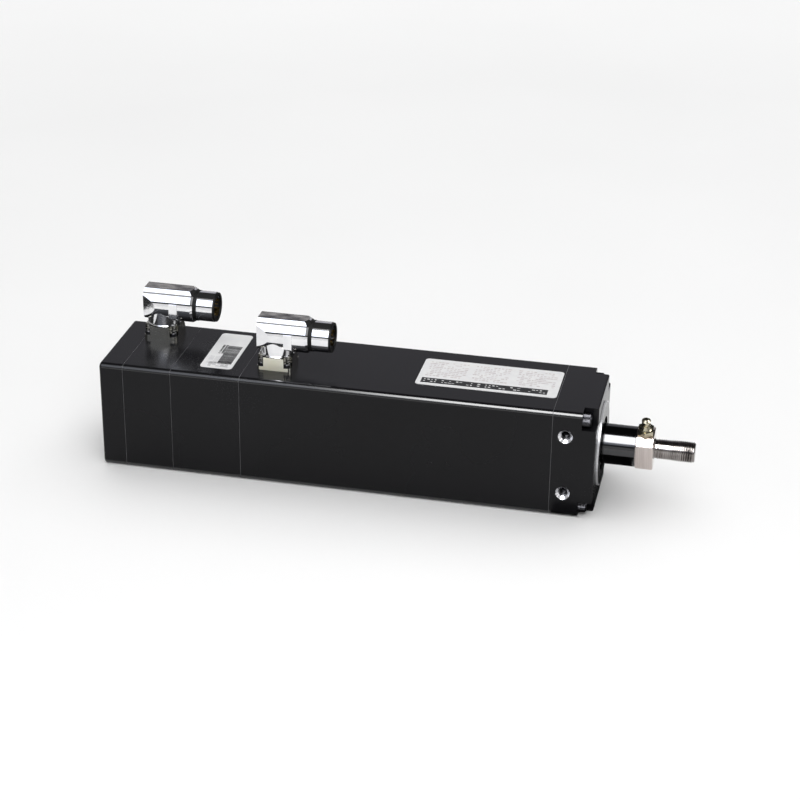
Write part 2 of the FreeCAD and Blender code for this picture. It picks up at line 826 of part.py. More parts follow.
# feedback device, counted back from the wall in the feedback housing
X_ENCODER = X_BRAKE - d.gasket_thick - d.partition - d.encoder_len
ENCODER_DISC_BACK = d.part_gap + d.encoder_disc_len + d.encoder_hub_len


def make_rotor():
    tube_front = X_FRONT + FRONT_SEAT - 1
    shoulder = X_FRONT + 0.5 - X_TUBE
    length = tube_front - X_TUBE
    bore = d.tube_bore_d / 2
    turned("rotor_tube", X_TUBE, [
        (NONE, bore),
        (length, bore),
        (length, d.tube_front_d / 2),
        (shoulder, d.tube_front_d / 2),
        (shoulder, d.tube_d / 2),
        (NONE, d.tube_d / 2),
    ])

    magnets = part_body("rotor_magnets", X_CORE)
    arc = sketch_on(magnets, "YZ_Plane")
    low = d.tube_d.number / 2 + d.seat_gap.number
    high = d.magnet_d.number / 2
    segment_arc(arc, low, high, d.magnet_span.number)
    around(magnets, [pad(magnets, arc, d.core_len)], ROTOR_MAGNETS)

    spigot = d.tube_bore_d / 2 - d.seat_gap
    hole = d.journal_d / 2 + d.seat_gap
    end = d.hub_flange + d.hub_spigot
    turned("rotor_hub", X_HUB, [
        (NONE, hole),
        (end, hole),
        (end, spigot),
        (d.hub_flange, spigot),
        (d.hub_flange, d.tube_d / 2),
        (NONE, d.tube_d / 2),
    ])

    journal = X_SCREW - X_SEAT
    x_tail = X_ENCODER - ENCODER_DISC_BACK
    x_step = X_PLATE - d.brake_plate_len
    x_thread = X_SEAT - d.nut_thread_len
    stations = [
        (x_step - x_tail, d.encoder_shaft_d),
        (x_thread - x_step, d.brake_shaft_d),
        (d.nut_thread_len, d.nut_thread_d),
        (journal, d.journal_d),
        (d.screw_len, d.screw_d),
    ]
    tail = X_SEAT - x_tail
    profile = [(NONE, NONE)]
    along = NONE
    for reach, diameter in stations:
        profile.append((along, diameter / 2))
        along = reach if along is NONE else along + reach
        profile.append((along, diameter / 2))
    profile.append((along, NONE))
    screw = turned("ball_screw", x_tail, profile)
    tip = (tail + journal + d.screw_len).number
    dressed(screw, "Chamfer", lambda edge: lies_at_x(edge, tip), d.seat_gap * 30)

    bore_d = d.nut_thread_d + d.seat_gap * 2
    nut = ring("lock_nut", X_SEAT - d.lock_nut_len, d.lock_nut_len, d.lock_nut_d, bore_d)
    slot = sketch_on(nut, "YZ_Plane")
    rectangle(slot, d.lock_nut_d / 2 - 2, NONE - 2, d.lock_nut_d / 2 + 1, NONE + 2)
    around(nut, [pocket(nut, slot, d.lock_nut_len, backwards=True)], NUT_SLOTS)


def segment_arc(sketch, low, high, span):
    """An arc-shaped magnet section beside the +Y axis, with concentric faces."""
    half = math.radians(span) / 2
    centre = FreeCAD.Vector(0, 0, 0)
    normal = FreeCAD.Vector(0, 0, 1)
    corners = {}
    for name, radius in (("low", low), ("high", high)):
        for side in (-1, 1):
            corners[name, side] = FreeCAD.Vector(radius * math.cos(half), side * radius * math.sin(half), 0)
    sketch.addGeometry([
        Part.ArcOfCircle(Part.Circle(centre, normal, low), -half, half),
        Part.LineSegment(corners["low", 1], corners["high", 1]),
        Part.ArcOfCircle(Part.Circle(centre, normal, high), -half, half),
        Part.LineSegment(corners["high", -1], corners["low", -1]),
    ], False)
    outer = d.magnet_d / 2
    inner = d.tube_d / 2 + d.seat_gap
    rise = outer * math.sin(half)
    low_rise = inner * math.sin(half)
    bind(sketch, [
        (Sketcher.Constraint("Coincident", 0, 3, -1, 1), None),
        (Sketcher.Constraint("Coincident", 2, 3, -1, 1), None),
        (Sketcher.Constraint("Coincident", 0, 2, 1, 1), None),
        (Sketcher.Constraint("Coincident", 1, 2, 2, 2), None),
        (Sketcher.Constraint("Coincident", 2, 1, 3, 1), None),
        (Sketcher.Constraint("Coincident", 3, 2, 0, 1), None),
        (Sketcher.Constraint("Radius", 0, inner.number), inner),
        (Sketcher.Constraint("Radius", 2, outer.number), outer),
        (Sketcher.Constraint("DistanceY", -1, 1, 1, 2, rise.number), rise),
        (Sketcher.Constraint("DistanceY", 3, 1, -1, 1, rise.number), rise),
        (Sketcher.Constraint("DistanceY", -1, 1, 1, 1, low_rise.number), low_rise),
        (Sketcher.Constraint("DistanceY", 3, 2, -1, 1, low_rise.number), low_rise),
    ])


def roller_row(body, kind, along, pitch, lean, sizes, count):
    """Rollers round the X axis whose own axes lean outwards by an angle; sizes are diameter and length."""
    diameter, length = sizes
    name = "PartDesign::%sCylinder" % kind
    roller = body.newObject(name, body.Label + "_roller")
    start_x = along - length * (math.cos(lean) / 2)
    start_y = pitch - length * (math.sin(lean) / 2)
    axis = FreeCAD.Vector(math.cos(lean), math.sin(lean), 0)
    turn = FreeCAD.Rotation(FreeCAD.Vector(0, 0, 1), axis)
    roller.Placement = FreeCAD.Placement(FreeCAD.Vector(start_x.number, start_y.number, 0), turn)
    roller.setExpression("Placement.Base.x", start_x.formula)
    roller.setExpression("Placement.Base.y", start_y.formula)
    roller.setExpression("Radius", (diameter / 2).formula)
    roller.setExpression("Height", length.formula)
    around(body, [roller], count)


def make_screw_bearing():
    end = d.thrust_len
    middle = d.thrust_mid
    outside = d.thrust_d / 2
    turned("thrust_outer_ring", X_SEAT, [
        (NONE, PITCH_END + RACE_OFFSET),
        (middle, PITCH_MID + RACE_OFFSET),
        (end, PITCH_END + RACE_OFFSET),
        (end, outside),
        (NONE, outside),
    ])
    bore = d.journal_d / 2 + d.seat_gap
    turned("thrust_inner_ring", X_SEAT, [
        (NONE, bore),
        (INNER_LEN, bore),
        (INNER_LEN, PITCH_END - RACE_OFFSET),
        (end, PITCH_END - RACE_OFFSET),
        (middle, PITCH_MID - RACE_OFFSET),
        (NONE, PITCH_END - RACE_OFFSET),
    ])
    rows = ((d.thrust_row, ROLLER_LEAN), (end - d.thrust_row, -ROLLER_LEAN))
    rollers = part_body("thrust_rollers", X_SEAT)
    for along, lean in rows:
        sizes = (d.roller_d, d.roller_len)
        roller_row(rollers, "Additive", along, d.thrust_pitch, lean, sizes, THRUST_ROLLERS)
    half = d.cage_thick / 2
    low = d.thrust_end_gap / 2
    cage = turned("thrust_cage", X_SEAT, [
        (low, PITCH_END - half),
        (middle, PITCH_MID - half),
        (end - low, PITCH_END - half),
        (end - low, PITCH_END + half),
        (middle, PITCH_MID + half),
        (low, PITCH_END + half),
    ])
    pocket_sizes = (d.roller_d + d.cage_slack * 2, d.roller_len + d.cage_slack * 2)
    for along, lean in rows:
        roller_row(cage, "Subtractive", along, d.thrust_pitch, lean, pocket_sizes, THRUST_ROLLERS)

    face = X_SEAT + d.thrust_len
    plate = ring("bearing_retainer", face, d.retainer_len, d.retainer_d, d.retainer_bore_d)
    place_r = d.retainer_screw_place
    through = circle(sketch_on(plate, "YZ_Plane"), place_r, NONE, d.retainer_screw_d + d.hole_slack)
    around(plate, [pocket(plate, through, d.retainer_len, backwards=True)], CORNER_SCREWS)
    head = d.retainer_head_d
    seats = circle(sketch_on(plate, "YZ_Plane", d.retainer_len), place_r, NONE, head + d.hole_slack)
    around(plate, [pocket(plate, seats, d.retainer_len / 2)], CORNER_SCREWS)
    cap_screws(
        "retainer_screws", face + d.retainer_len / 2, place_r, NONE,
        (head, d.retainer_len / 2 - d.seat_gap * 2),
        (d.retainer_screw_d, d.retainer_len / 2 + d.screw_hold - 1),
        d.retainer_screw_d * 0.6, d.retainer_len / 4, CORNER_SCREWS,
    )


def make_front_bearing():
    x = X_FRONT + FRONT_SEAT - d.front_ring_len
    middle = d.front_ring_len / 2
    ring("front_outer_ring", x, d.front_ring_len, d.front_ring_d, d.front_land_d)
    ring("front_inner_ring", x, d.front_ring_len - 1, d.front_race_d, d.tube_front_d + d.seat_gap * 2)
    pitch = d.front_pitch_d / 2
    needles = part_body("front_needles", x)
    roller_row(needles, "Additive", middle, pitch, 0.0, (d.needle_d, d.needle_len), FRONT_NEEDLES)
    width = d.needle_len + d.cage_rim * 2
    cage = ring("front_cage", x + middle - width / 2, width, d.front_pitch_d + d.cage_thick,
                d.front_pitch_d - d.cage_thick)
    pocket_sizes = (d.needle_d + d.cage_slack * 2, d.needle_len + d.cage_slack * 2)
    roller_row(cage, "Subtractive", width / 2, pitch, 0.0, pocket_sizes, FRONT_NEEDLES)


X_NUT = X_SCREW + d.nut_start
X_TUBE_END = X_NUT + d.nut_len


def make_rod():
    bore = d.screw_d / 2 + d.part_gap
    bevel = d.nut_bevel
    turned("ball_nut", X_NUT, [
        (NONE, bore),
        (d.nut_len, bore),
        (d.nut_len, d.nut_d / 2 - bevel),
        (d.nut_len - bevel, d.nut_d / 2),
        (bevel, d.nut_d / 2),
        (NONE, d.nut_d / 2 - bevel),
    ])
    sleeve = d.rod_d / 2 + d.seat_gap
    turned("nut_collar", X_TUBE_END, [
        (NONE, sleeve),
        (d.collar_len, sleeve),
        (d.collar_len, d.nut_d / 2 - bevel / 2),
        (d.collar_len - bevel / 2, d.nut_d / 2),
        (NONE, d.nut_d / 2),
    ])
    ring("thrust_tube", X_TUBE_END, d.rod_out - X_TUBE_END, d.rod_d, d.rod_bore_d)
    make_rod_end()
    make_nipple()


def make_rod_end():
    start = d.rod_out - d.end_spigot
    shoulder = d.end_spigot + d.end_len
    tip = shoulder + d.stud_len
    spigot = d.rod_bore_d / 2 - d.seat_gap
    bevel = d.stud_d / 12
    body = turned("rod_end", start, [
        (NONE, NONE),
        (NONE, spigot),
        (d.end_spigot, spigot),
        (d.end_spigot, d.end_d / 2 - d.end_bevel),
        (d.end_spigot + d.end_bevel, d.end_d / 2),
        (shoulder - d.end_bevel, d.end_d / 2),
        (shoulder, d.end_d / 2 - d.end_bevel),
        (shoulder, d.stud_d / 2),
        (shoulder + d.stud_undercut, d.stud_relief_d / 2),
        (shoulder + d.stud_relief, d.stud_relief_d / 2),
        (shoulder + d.stud_relief + d.stud_undercut, d.stud_d / 2),
        (tip - bevel, d.stud_d / 2),
        (tip, d.stud_d / 2 - bevel),
        (tip, NONE),
    ], turned_by=d.end_turned)
    flats = sketch_on(body, "YZ_Plane", d.end_spigot)
    outside = d.end_d / 2 + 1
    for side in (-1, 1):
        low, high = sorted((d.end_flats / 2 * side, outside * side), key=lambda size: size.number)
        rectangle(flats, low, -outside, high, outside)
    pocket(body, flats, d.end_len, backwards=True)
    seat = circle(
        sketch_on(body, "XY_Plane", d.nipple_seat_r),
        d.end_spigot + d.end_len / 2, NONE, d.nipple_key * 1.2,
    )
    pocket(body, seat, d.end_d / 2, backwards=True)
    tapped = circle(
        sketch_on(body, "XY_Plane", d.nipple_seat_r),
        d.end_spigot + d.end_len / 2, NONE, d.nipple_stem_d + d.seat_gap * 2,
    )
    pocket(body, tapped, d.nipple_stem_len + 1)


def make_nipple():
    body = part_body("grease_nipple", d.rod_out + d.end_len / 2, turned_by=d.end_turned)
    base = d.nipple_seat_r
    key_top = base + d.nipple_key / 2
    key = regular(sketch_on(body, "XY_Plane", base), NONE + 0, NONE + 0, d.nipple_key, 6, 90.0)
    pad(body, key, d.nipple_key / 2)
    head = d.nipple_key * 0.3
    waist = d.nipple_key * 0.21
    stem = sketch_on(body, "XZ_Plane")
    outline(stem, [
        (NONE, base - d.nipple_stem_len),
        (d.nipple_stem_d / 2, base - d.nipple_stem_len),
        (d.nipple_stem_d / 2, base + 1),
        (d.nipple_key * 0.47, key_top - 0.8),
        (d.nipple_key * 0.36, key_top + 0.6),
        (waist, key_top + d.nipple_key * 0.26),
        (waist, key_top + d.nipple_key * 0.42),
        (head, key_top + d.nipple_key * 0.55),
        (head, key_top + d.nipple_key * 0.72),
        (head * 0.5, key_top + d.nipple_key * 0.86),
        (NONE, key_top + d.nipple_key * 0.86),
    ])
    spin(body, "Revolution", stem, "V_Axis")


def brake_screw_holes(body, diameter, length):
    hole = circle(sketch_on(body, "YZ_Plane"), d.brake_screw_place, NONE, diameter)
    around(body, [pocket(body, hole, length, backwards=True)], BRAKE_SCREWS)


def make_brake():
    magnet = ring("brake_magnet", X_MAGNET, d.magnet_body_len, d.magnet_body_d, d.magnet_body_bore_d)
    groove = d.coil_len + d.seat_gap * 4
    bored(magnet, [
        (NONE, d.coil_bore_d / 2 - d.seat_gap),
        (groove, d.coil_bore_d / 2 - d.seat_gap),
        (groove, d.coil_d / 2 + d.seat_gap),
        (NONE, d.coil_d / 2 + d.seat_gap),
    ])
    brake_screw_holes(magnet, d.brake_screw_d + d.seat_gap * 2, d.magnet_body_len)
    ring("brake_coil", X_MAGNET + d.seat_gap * 4, d.coil_len, d.coil_d, d.coil_bore_d)
    armature = ring("brake_armature", X_ARMATURE, d.armature_len, d.armature_d, d.magnet_body_bore_d)
    brake_screw_holes(armature, d.brake_screw_d + d.part_gap * 3, d.armature_len)
    hub_back = (d.disc_hub_len - d.disc_len) / 2
    hole = d.brake_shaft_d / 2 + d.seat_gap
    hub = d.disc_hub_d / 2
    rim = d.disc_d / 2
    turned("brake_disc", X_DISC - hub_back, [
        (NONE, hole),
        (d.disc_hub_len, hole),
        (d.disc_hub_len, hub),
        (hub_back + d.disc_len, hub),
        (hub_back + d.disc_len, rim),
        (hub_back, rim),
        (hub_back, hub),
        (NONE, hub),
    ])
    plate = ring("brake_plate", X_PLATE, d.brake_plate_len, d.magnet_body_d, d.magnet_body_bore_d)
    brake_screw_holes(plate, d.brake_screw_d + d.seat_gap * 2, d.brake_plate_len)
    cap_screws(
        "brake_screws", X_PLATE, d.brake_screw_place, NONE,
        (d.brake_screw_d * 1.8, d.brake_screw_d), (d.brake_screw_d, X_WALL - X_PLATE),
        d.brake_screw_d * 0.8, d.brake_screw_d / 2, BRAKE_SCREWS, points_back=False,
    )


X_BOARD = X_ENCODER - d.post_len


def make_feedback_device():
    cup = ring("encoder_body", X_ENCODER, d.encoder_len, d.encoder_d, d.shaft_pass_d)
    post = circle(sketch_on(cup, "YZ_Plane"), d.post_place, NONE, d.post_d)
    around(cup, [pad(cup, post, d.post_len, backwards=True)], BRAKE_SCREWS)
    hole = d.encoder_shaft_d / 2 + d.seat_gap
    hub = d.encoder_hub_d / 2
    rim = d.post_place - d.post_d / 2 - d.encoder_disc_gap
    turned("encoder_disc", X_ENCODER - ENCODER_DISC_BACK, [
        (NONE, hole),
        (d.encoder_hub_len + d.encoder_disc_len, hole),
        (d.encoder_hub_len + d.encoder_disc_len, rim),
        (d.encoder_hub_len, rim),
        (d.encoder_hub_len, hub),
        (NONE, hub),
    ])
    ring("encoder_board", X_BOARD - d.board_len, d.board_len, d.board_d, d.encoder_shaft_d + d.part_gap * 4)


def connector_places():
    """Where each connector stands on the top face, and its rear end along X."""
    return {
        "feedback": (X_FEEDBACK + d.feedback_back, d.feedback_y),
        "power": (X_STATOR + d.power_back, d.power_y),
    }


def make_flange(x, y):
    body = part_body("flange", x, y, HALF)
    pieces.remove(body)
    half = d.flange_side / 2
    pad(body, rectangle(sketch_on(body, "XY_Plane"), -half, -half, half, half), d.flange_high)

    def stands(edge):
        return edge.BoundBox.ZLength > d.flange_high.number / 2

    dressed(body, "Fillet", stands, d.flange_edge)
    at = d.scallop_place
    scallop = circle(sketch_on(body, "XY_Plane", d.flange_high), at, at, d.scallop_d)
    around(body, [pocket(body, scallop, d.flange_high - d.flange_foot)], CORNER_SCREWS, "Z_Axis")
    hole_d = d.flange_screw_d + d.hole_slack / 2
    hole = circle(sketch_on(body, "XY_Plane"), d.flange_hole, d.flange_hole, hole_d)
    around(body, [pocket(body, hole, d.flange_foot, backwards=True)], CORNER_SCREWS, "Z_Axis")
    bore = circle(sketch_on(body, "XY_Plane"), NONE, NONE, d.spigot_d + d.run_gap * 2)
    pocket(body, bore, d.flange_high, backwards=True)
    return body


def make_flange_screws(x, y):
    body = part_body("flange_bolts", x, y, HALF)
    pieces.remove(body)
    at = d.flange_hole
    base = d.flange_foot
    heads = pad(body, circle(sketch_on(body, "XY_Plane", base), at, at, d.flange_head_d), d.flange_head_len)
    shank = circle(sketch_on(body, "XY_Plane", base), at, at, d.flange_screw_d)
    shanks = pad(body, shank, d.flange_foot + d.flange_grip, backwards=True)
    top = base + d.flange_head_len
    socket = regular(sketch_on(body, "XY_Plane", top), at, at, d.flange_head_d * 0.45, 6)
    sockets = pocket(body, socket, d.flange_head_len / 2)
    around(body, [heads, shanks, sockets], CORNER_SCREWS, "Z_Axis")
    return body


def compound(label, bodies):
    together = doc.addObject("Part::Compound", label)
    together.Label = label
    together.Links = bodies
    pieces.append(together)


def make_land(body):
    """The flat-topped land along the barrel, with leaning sides and rounded top edges."""
    top = d.barrel_high + d.barrel_wide / 2
    low = top - d.land_rise
    half = d.land_wide / 2
    foot = half + d.land_lean
    section = sketch_on(body, "YZ_Plane", -d.barrel_back)
    outline(section, [(-foot, low), (foot, low), (half, top), (-half, top)])
    pad(body, section, d.barrel_back + d.barrel_front)

    def on_top(edge):
        return runs_along_x(edge) and near(edge.BoundBox.ZMax, top.number)

    dressed(body, "Fillet", on_top, d.land_round)


def make_elbow(prefix, x, y):
    """A die-cast right-angle body: a round barrel with a flat land meets a round neck, hollow throughout."""
    body = part_body(prefix + "_elbow", x, y, HALF)
    make_land(body)
    barrel = circle(sketch_on(body, "YZ_Plane", -d.barrel_back), NONE, d.barrel_high, d.barrel_wide)
    pad(body, barrel, d.barrel_back + d.barrel_front)
    # flat cheeks, one on each side of the tail
    back = -d.barrel_back
    slope = d.tail_deep / d.tail_long
    reach = d.tail_long + d.tail_long / d.tail_deep
    cheeks = sketch_on(body, "XY_Plane")
    for side in (-1, 1):
        edge = (d.barrel_wide / 2 + 1) * side
        inner = (d.barrel_wide / 2 - d.tail_deep - slope) * side
        outline(cheeks, [(back - 1, inner), (back - 1, edge), (back + reach, edge)])
    pocket(body, cheeks, d.barrel_high * 2, backwards=True)
    boss = sketch_on(body, "XZ_Plane")
    boss_low = d.barrel_high - d.pad_drop - d.pad_high / 2
    boss_half = d.pad_long / 2
    rectangle(boss, d.pad_ahead - boss_half, boss_low, d.pad_ahead + boss_half, boss_low + d.pad_high)
    pad(body, boss, d.barrel_wide + d.pad_proud * 2, both=True)
    neck_low = d.flange_high + d.part_gap
    collar = d.neck_d / 2 + d.collar_out
    neck = sketch_on(body, "XZ_Plane")
    outline(neck, [
        (NONE, d.flange_foot),
        (d.spigot_d / 2, d.flange_foot),
        (d.spigot_d / 2, neck_low),
        (collar, neck_low),
        (collar, neck_low + d.collar_edge),
        (d.neck_d / 2, neck_low + d.collar_edge + d.collar_out),
        (d.neck_d / 2, d.barrel_high),
        (NONE, d.barrel_high),
    ])
    spin(body, "Revolution", neck, "V_Axis")
    throat = sketch_on(body, "XZ_Plane")
    outline(throat, [
        (NONE, d.flange_foot - 1),
        (d.neck_bore_d / 2, d.flange_foot - 1),
        (d.neck_bore_d / 2, d.barrel_high),
        (NONE, d.barrel_high),
    ])
    spin(body, "Groove", throat, "V_Axis")
    front = d.barrel_front
    bore = sketch_on(body, "YZ_Plane", front)
    circle(bore, NONE, d.barrel_high, d.barrel_bore_d)
    pocket(body, bore, front + d.neck_bore_d / 4)
    taper = sketch_on(body, "XZ_Plane", lift=d.barrel_high)
    wide = d.barrel_wide / 2 + d.barrel_lip
    outline(taper, [
        (front - d.barrel_lip, d.barrel_lip_d / 2 + d.barrel_lip / 2),
        (front, d.barrel_lip_d / 2),
        (front, wide),
        (front - d.barrel_lip, wide),
    ])
    spin(body, "Groove", taper, "H_Axis")
    return body


def connector_ring(label, x, y, start, length, outer_d, inner_d):
    body = part_body(label, x, y, HALF)
    face = sketch_on(body, "YZ_Plane", start)
    circle(face, NONE, d.barrel_high, outer_d)
    if inner_d is not None:
        circle(face, NONE, d.barrel_high, inner_d)
    pad(body, face, length)
    return body


def make_pins(prefix, x, y, start, count, diameter, place_r):
    body = part_body(prefix + "_pins", x, y, HALF + d.barrel_high)
    pin = circle(sketch_on(body, "YZ_Plane", start), place_r, NONE, diameter)
    around(body, [pad(body, pin, d.pin_len)], count)


def make_connectors():
    flanges = []
    bolts = []
    pins = {
        "feedback": (FEEDBACK_PINS, d.feedback_pin_d, d.feedback_pin_place),
        "power": (POWER_PINS, d.power_pin_d, d.power_pin_place),
    }
    for prefix, (x, y) in connector_places().items():
        flanges.append(make_flange(x, y))
        bolts.append(make_flange_screws(x, y))
        make_elbow(prefix, x, y)
        seal = d.barrel_front
        ring_back = seal + d.seal_ring_len
        ring_front = ring_back + d.coupling_len
        connector_ring(prefix + "_seal", x, y, seal, d.seal_ring_len, d.seal_ring_d, d.coupling_bore_d)
        connector_ring(prefix + "_ring", x, y, ring_back, d.coupling_len, d.coupling_d, d.coupling_bore_d)
        connector_ring(prefix + "_bush", x, y, ring_front, d.bush_end_len, d.bush_end_d, d.coupling_bore_d)
        insert_front = ring_front - d.socket_deep
        insert_back = insert_front - d.insert_len
        connector_ring(prefix + "_insert", x, y, insert_back, d.insert_len, d.insert_d, None)
        make_pins(prefix, x, y, insert_front, *pins[prefix])
    compound("connector_flanges", flanges)
    compound("flange_screws", bolts)


def make_label(label, x, y, long, wide):
    body = part_body(label, x, y, HALF)
    plate = rectangle(sketch_on(body, "XY_Plane"), -long / 2, -wide / 2, long / 2, wide / 2)
    pad(body, plate, d.label_thick)

    def stands(edge):
        return edge.BoundBox.ZLength > d.label_thick.number / 2

    dressed(body, "Fillet", stands, d.label_round)


def make_labels():
    data_x = X_FRONT - d.data_label_back
    code_x = X_BRAKE + d.code_label_ahead
    make_label("data_label", data_x, d.data_label_y, d.data_label_long, d.data_label_wide)
    make_label("code_label", code_x, d.code_label_y, d.code_label_long, d.code_label_wide)


def check_and_export():
    doc.recompute()
    for thing in doc.Objects:
        if "Invalid" in thing.State or "Error" in thing.State:
            raise RuntimeError("%s (%s) did not build" % (thing.Label, thing.Name))
    os.makedirs("parts", exist_ok=True)
    for piece in pieces:
        shape = piece.Shape
        if shape.isNull() or not shape.isValid() or not shape.Solids:
            raise RuntimeError("%s has no valid solid" % piece.Label)
        shape.exportStep("parts/%s.step" % piece.Label)


make_rear_cover()
make_feedback_housing()
make_brake_housing()
make_stator_housing()
make_front_housing()
make_gaskets()
make_housing_screws()
make_rod_guides()
make_stator()
make_rotor()
make_screw_bearing()
make_front_bearing()
make_rod()
make_brake()
make_feedback_device()
make_connectors()
make_labels()
check_and_export()
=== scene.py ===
import json
import math

import bmesh
import bpy
from mathutils import Matrix, Vector

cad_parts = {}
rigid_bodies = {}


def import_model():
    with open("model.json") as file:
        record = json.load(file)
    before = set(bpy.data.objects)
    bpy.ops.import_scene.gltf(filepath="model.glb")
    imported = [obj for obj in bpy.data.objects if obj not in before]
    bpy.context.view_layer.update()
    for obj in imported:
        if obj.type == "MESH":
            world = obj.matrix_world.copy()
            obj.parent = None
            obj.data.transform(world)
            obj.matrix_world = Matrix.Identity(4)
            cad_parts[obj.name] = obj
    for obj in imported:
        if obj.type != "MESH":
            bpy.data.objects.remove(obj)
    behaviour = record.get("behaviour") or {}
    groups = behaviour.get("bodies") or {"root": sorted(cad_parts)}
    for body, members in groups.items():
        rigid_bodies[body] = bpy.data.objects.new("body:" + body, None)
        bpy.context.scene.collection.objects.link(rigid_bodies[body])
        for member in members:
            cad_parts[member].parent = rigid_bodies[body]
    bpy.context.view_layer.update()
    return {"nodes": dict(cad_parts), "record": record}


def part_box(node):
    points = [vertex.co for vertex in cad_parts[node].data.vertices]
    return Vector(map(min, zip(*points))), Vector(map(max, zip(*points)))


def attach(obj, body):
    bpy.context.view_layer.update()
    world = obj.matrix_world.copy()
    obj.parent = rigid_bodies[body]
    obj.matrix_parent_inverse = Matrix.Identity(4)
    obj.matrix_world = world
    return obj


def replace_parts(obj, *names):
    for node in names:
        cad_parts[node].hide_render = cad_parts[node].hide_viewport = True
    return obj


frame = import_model()
nodes = frame["nodes"]
slotOf = {row["node"]: row["material_slot"] for row in frame["record"]["subparts"]}
bodyOf = {
    node: body
    for body, members in frame["record"]["behaviour"]["bodies"].items()
    for node in members
}
mm = 0.001
weld = 0.01 * mm  # points nearer than this are one
print("frame loaded with", len(nodes), "nodes")


# node tools, shared by the finishes and the geometry trees

class Value:
    # one socket, so that maths on it reads as plain Python
    def __init__(self, tree, socket):
        self.tree = tree
        self.socket = socket

    def maths(self, operation, *others, flip=False):
        node = self.tree.nodes.new("ShaderNodeMath")
        node.operation = operation
        terms = [self, *others]
        if flip:
            terms.reverse()
        for socket, term in zip(node.inputs, terms):
            plug(self.tree, socket, term)
        return Value(self.tree, node.outputs[0])

    def __add__(self, other):
        return self.maths("ADD", other)

    def __radd__(self, other):
        return self.maths("ADD", other, flip=True)

    def __sub__(self, other):
        return self.maths("SUBTRACT", other)

    def __rsub__(self, other):
        return self.maths("SUBTRACT", other, flip=True)

    def __mul__(self, other):
        return self.maths("MULTIPLY", other)

    def __rmul__(self, other):
        return self.maths("MULTIPLY", other, flip=True)

    def __truediv__(self, other):
        return self.maths("DIVIDE", other)

    def __rtruediv__(self, other):
        return self.maths("DIVIDE", other, flip=True)

    def __mod__(self, other):
        return self.maths("FLOORED_MODULO", other)

    def __lt__(self, other):
        return self.maths("LESS_THAN", other)

    def __gt__(self, other):
        return self.maths("GREATER_THAN", other)

    def __abs__(self):
        return self.maths("ABSOLUTE")

    def root(self):
        return self.maths("SQRT")

    def sine(self):
        return self.maths("SINE")


def plug(tree, socket, source):
    # a link where the source is a socket, else a plain value
    if isinstance(source, Value):
        tree.links.new(source.socket, socket)
    elif isinstance(source, bpy.types.NodeSocket):
        tree.links.new(source, socket)
    else:
        socket.default_value = source


def addNode(tree, kind, settings=None, inputs=None):
    # settings come first, because some of them change which sockets there are
    node = tree.nodes.new(kind)
    for name, value in (settings or {}).items():
        setattr(node, name, value)
    for name, value in (inputs or {}).items():
        plug(tree, node.inputs[name], value)
    return node


class Finish:
    # one material under construction
    def __init__(self, name, constants):
        self.material = bpy.data.materials.new(name)
        self.material.use_nodes = True
        self.tree = self.material.node_tree
        self.shader = self.tree.nodes["Principled BSDF"]
        for key, value in constants.items():
            self.set(key, value)

    def set(self, socketName, value):
        plug(self.tree, self.shader.inputs[socketName], value)

    def add(self, kind, settings=None, inputs=None):
        return addNode(self.tree, kind, settings, inputs)

    def value(self, socket):
        return Value(self.tree, socket)

    def place(self):
        # the point on the part, in its own frame
        coords = self.add("ShaderNodeTexCoord").outputs["Object"]
        split = self.add("ShaderNodeSeparateXYZ", inputs={"Vector": coords})
        return [self.value(split.outputs[axis]) for axis in "XYZ"]

    def noise(self, scale, detail=2.0, stretch=(1, 1, 1)):
        coords = self.add("ShaderNodeTexCoord").outputs["Object"]
        mapped = self.add("ShaderNodeMapping", inputs={"Vector": coords, "Scale": stretch})
        node = self.add("ShaderNodeTexNoise", inputs={
            "Vector": mapped.outputs[0], "Scale": scale, "Detail": detail})
        return self.value(node.outputs["Fac"])

    def mix(self, factor, first, second):
        node = self.add("ShaderNodeMix", {"data_type": "RGBA"})
        for index, value in ((0, factor), (6, first), (7, second)):
            if isinstance(value, tuple):
                value = (*value, 1.0)
            plug(self.tree, node.inputs[index], value)
        return node.outputs[2]

    def spread(self, value, low, high):
        # a noise value, mostly 0.3 to 0.7, stretched over a range
        node = self.add("ShaderNodeMapRange", inputs={
            "Value": value, "From Min": 0.3, "From Max": 0.7, "To Min": low, "To Max": high})
        return self.value(node.outputs[0])

    def tones(self, value, first, second):
        # two tones that a noise value drifts between
        return self.mix(self.spread(value, 0.0, 1.0), first, second)

    def bump(self, height, distance, strength=1.0):
        node = self.add("ShaderNodeBump", inputs={
            "Height": height, "Distance": distance, "Strength": strength})
        self.set("Normal", node.outputs[0])


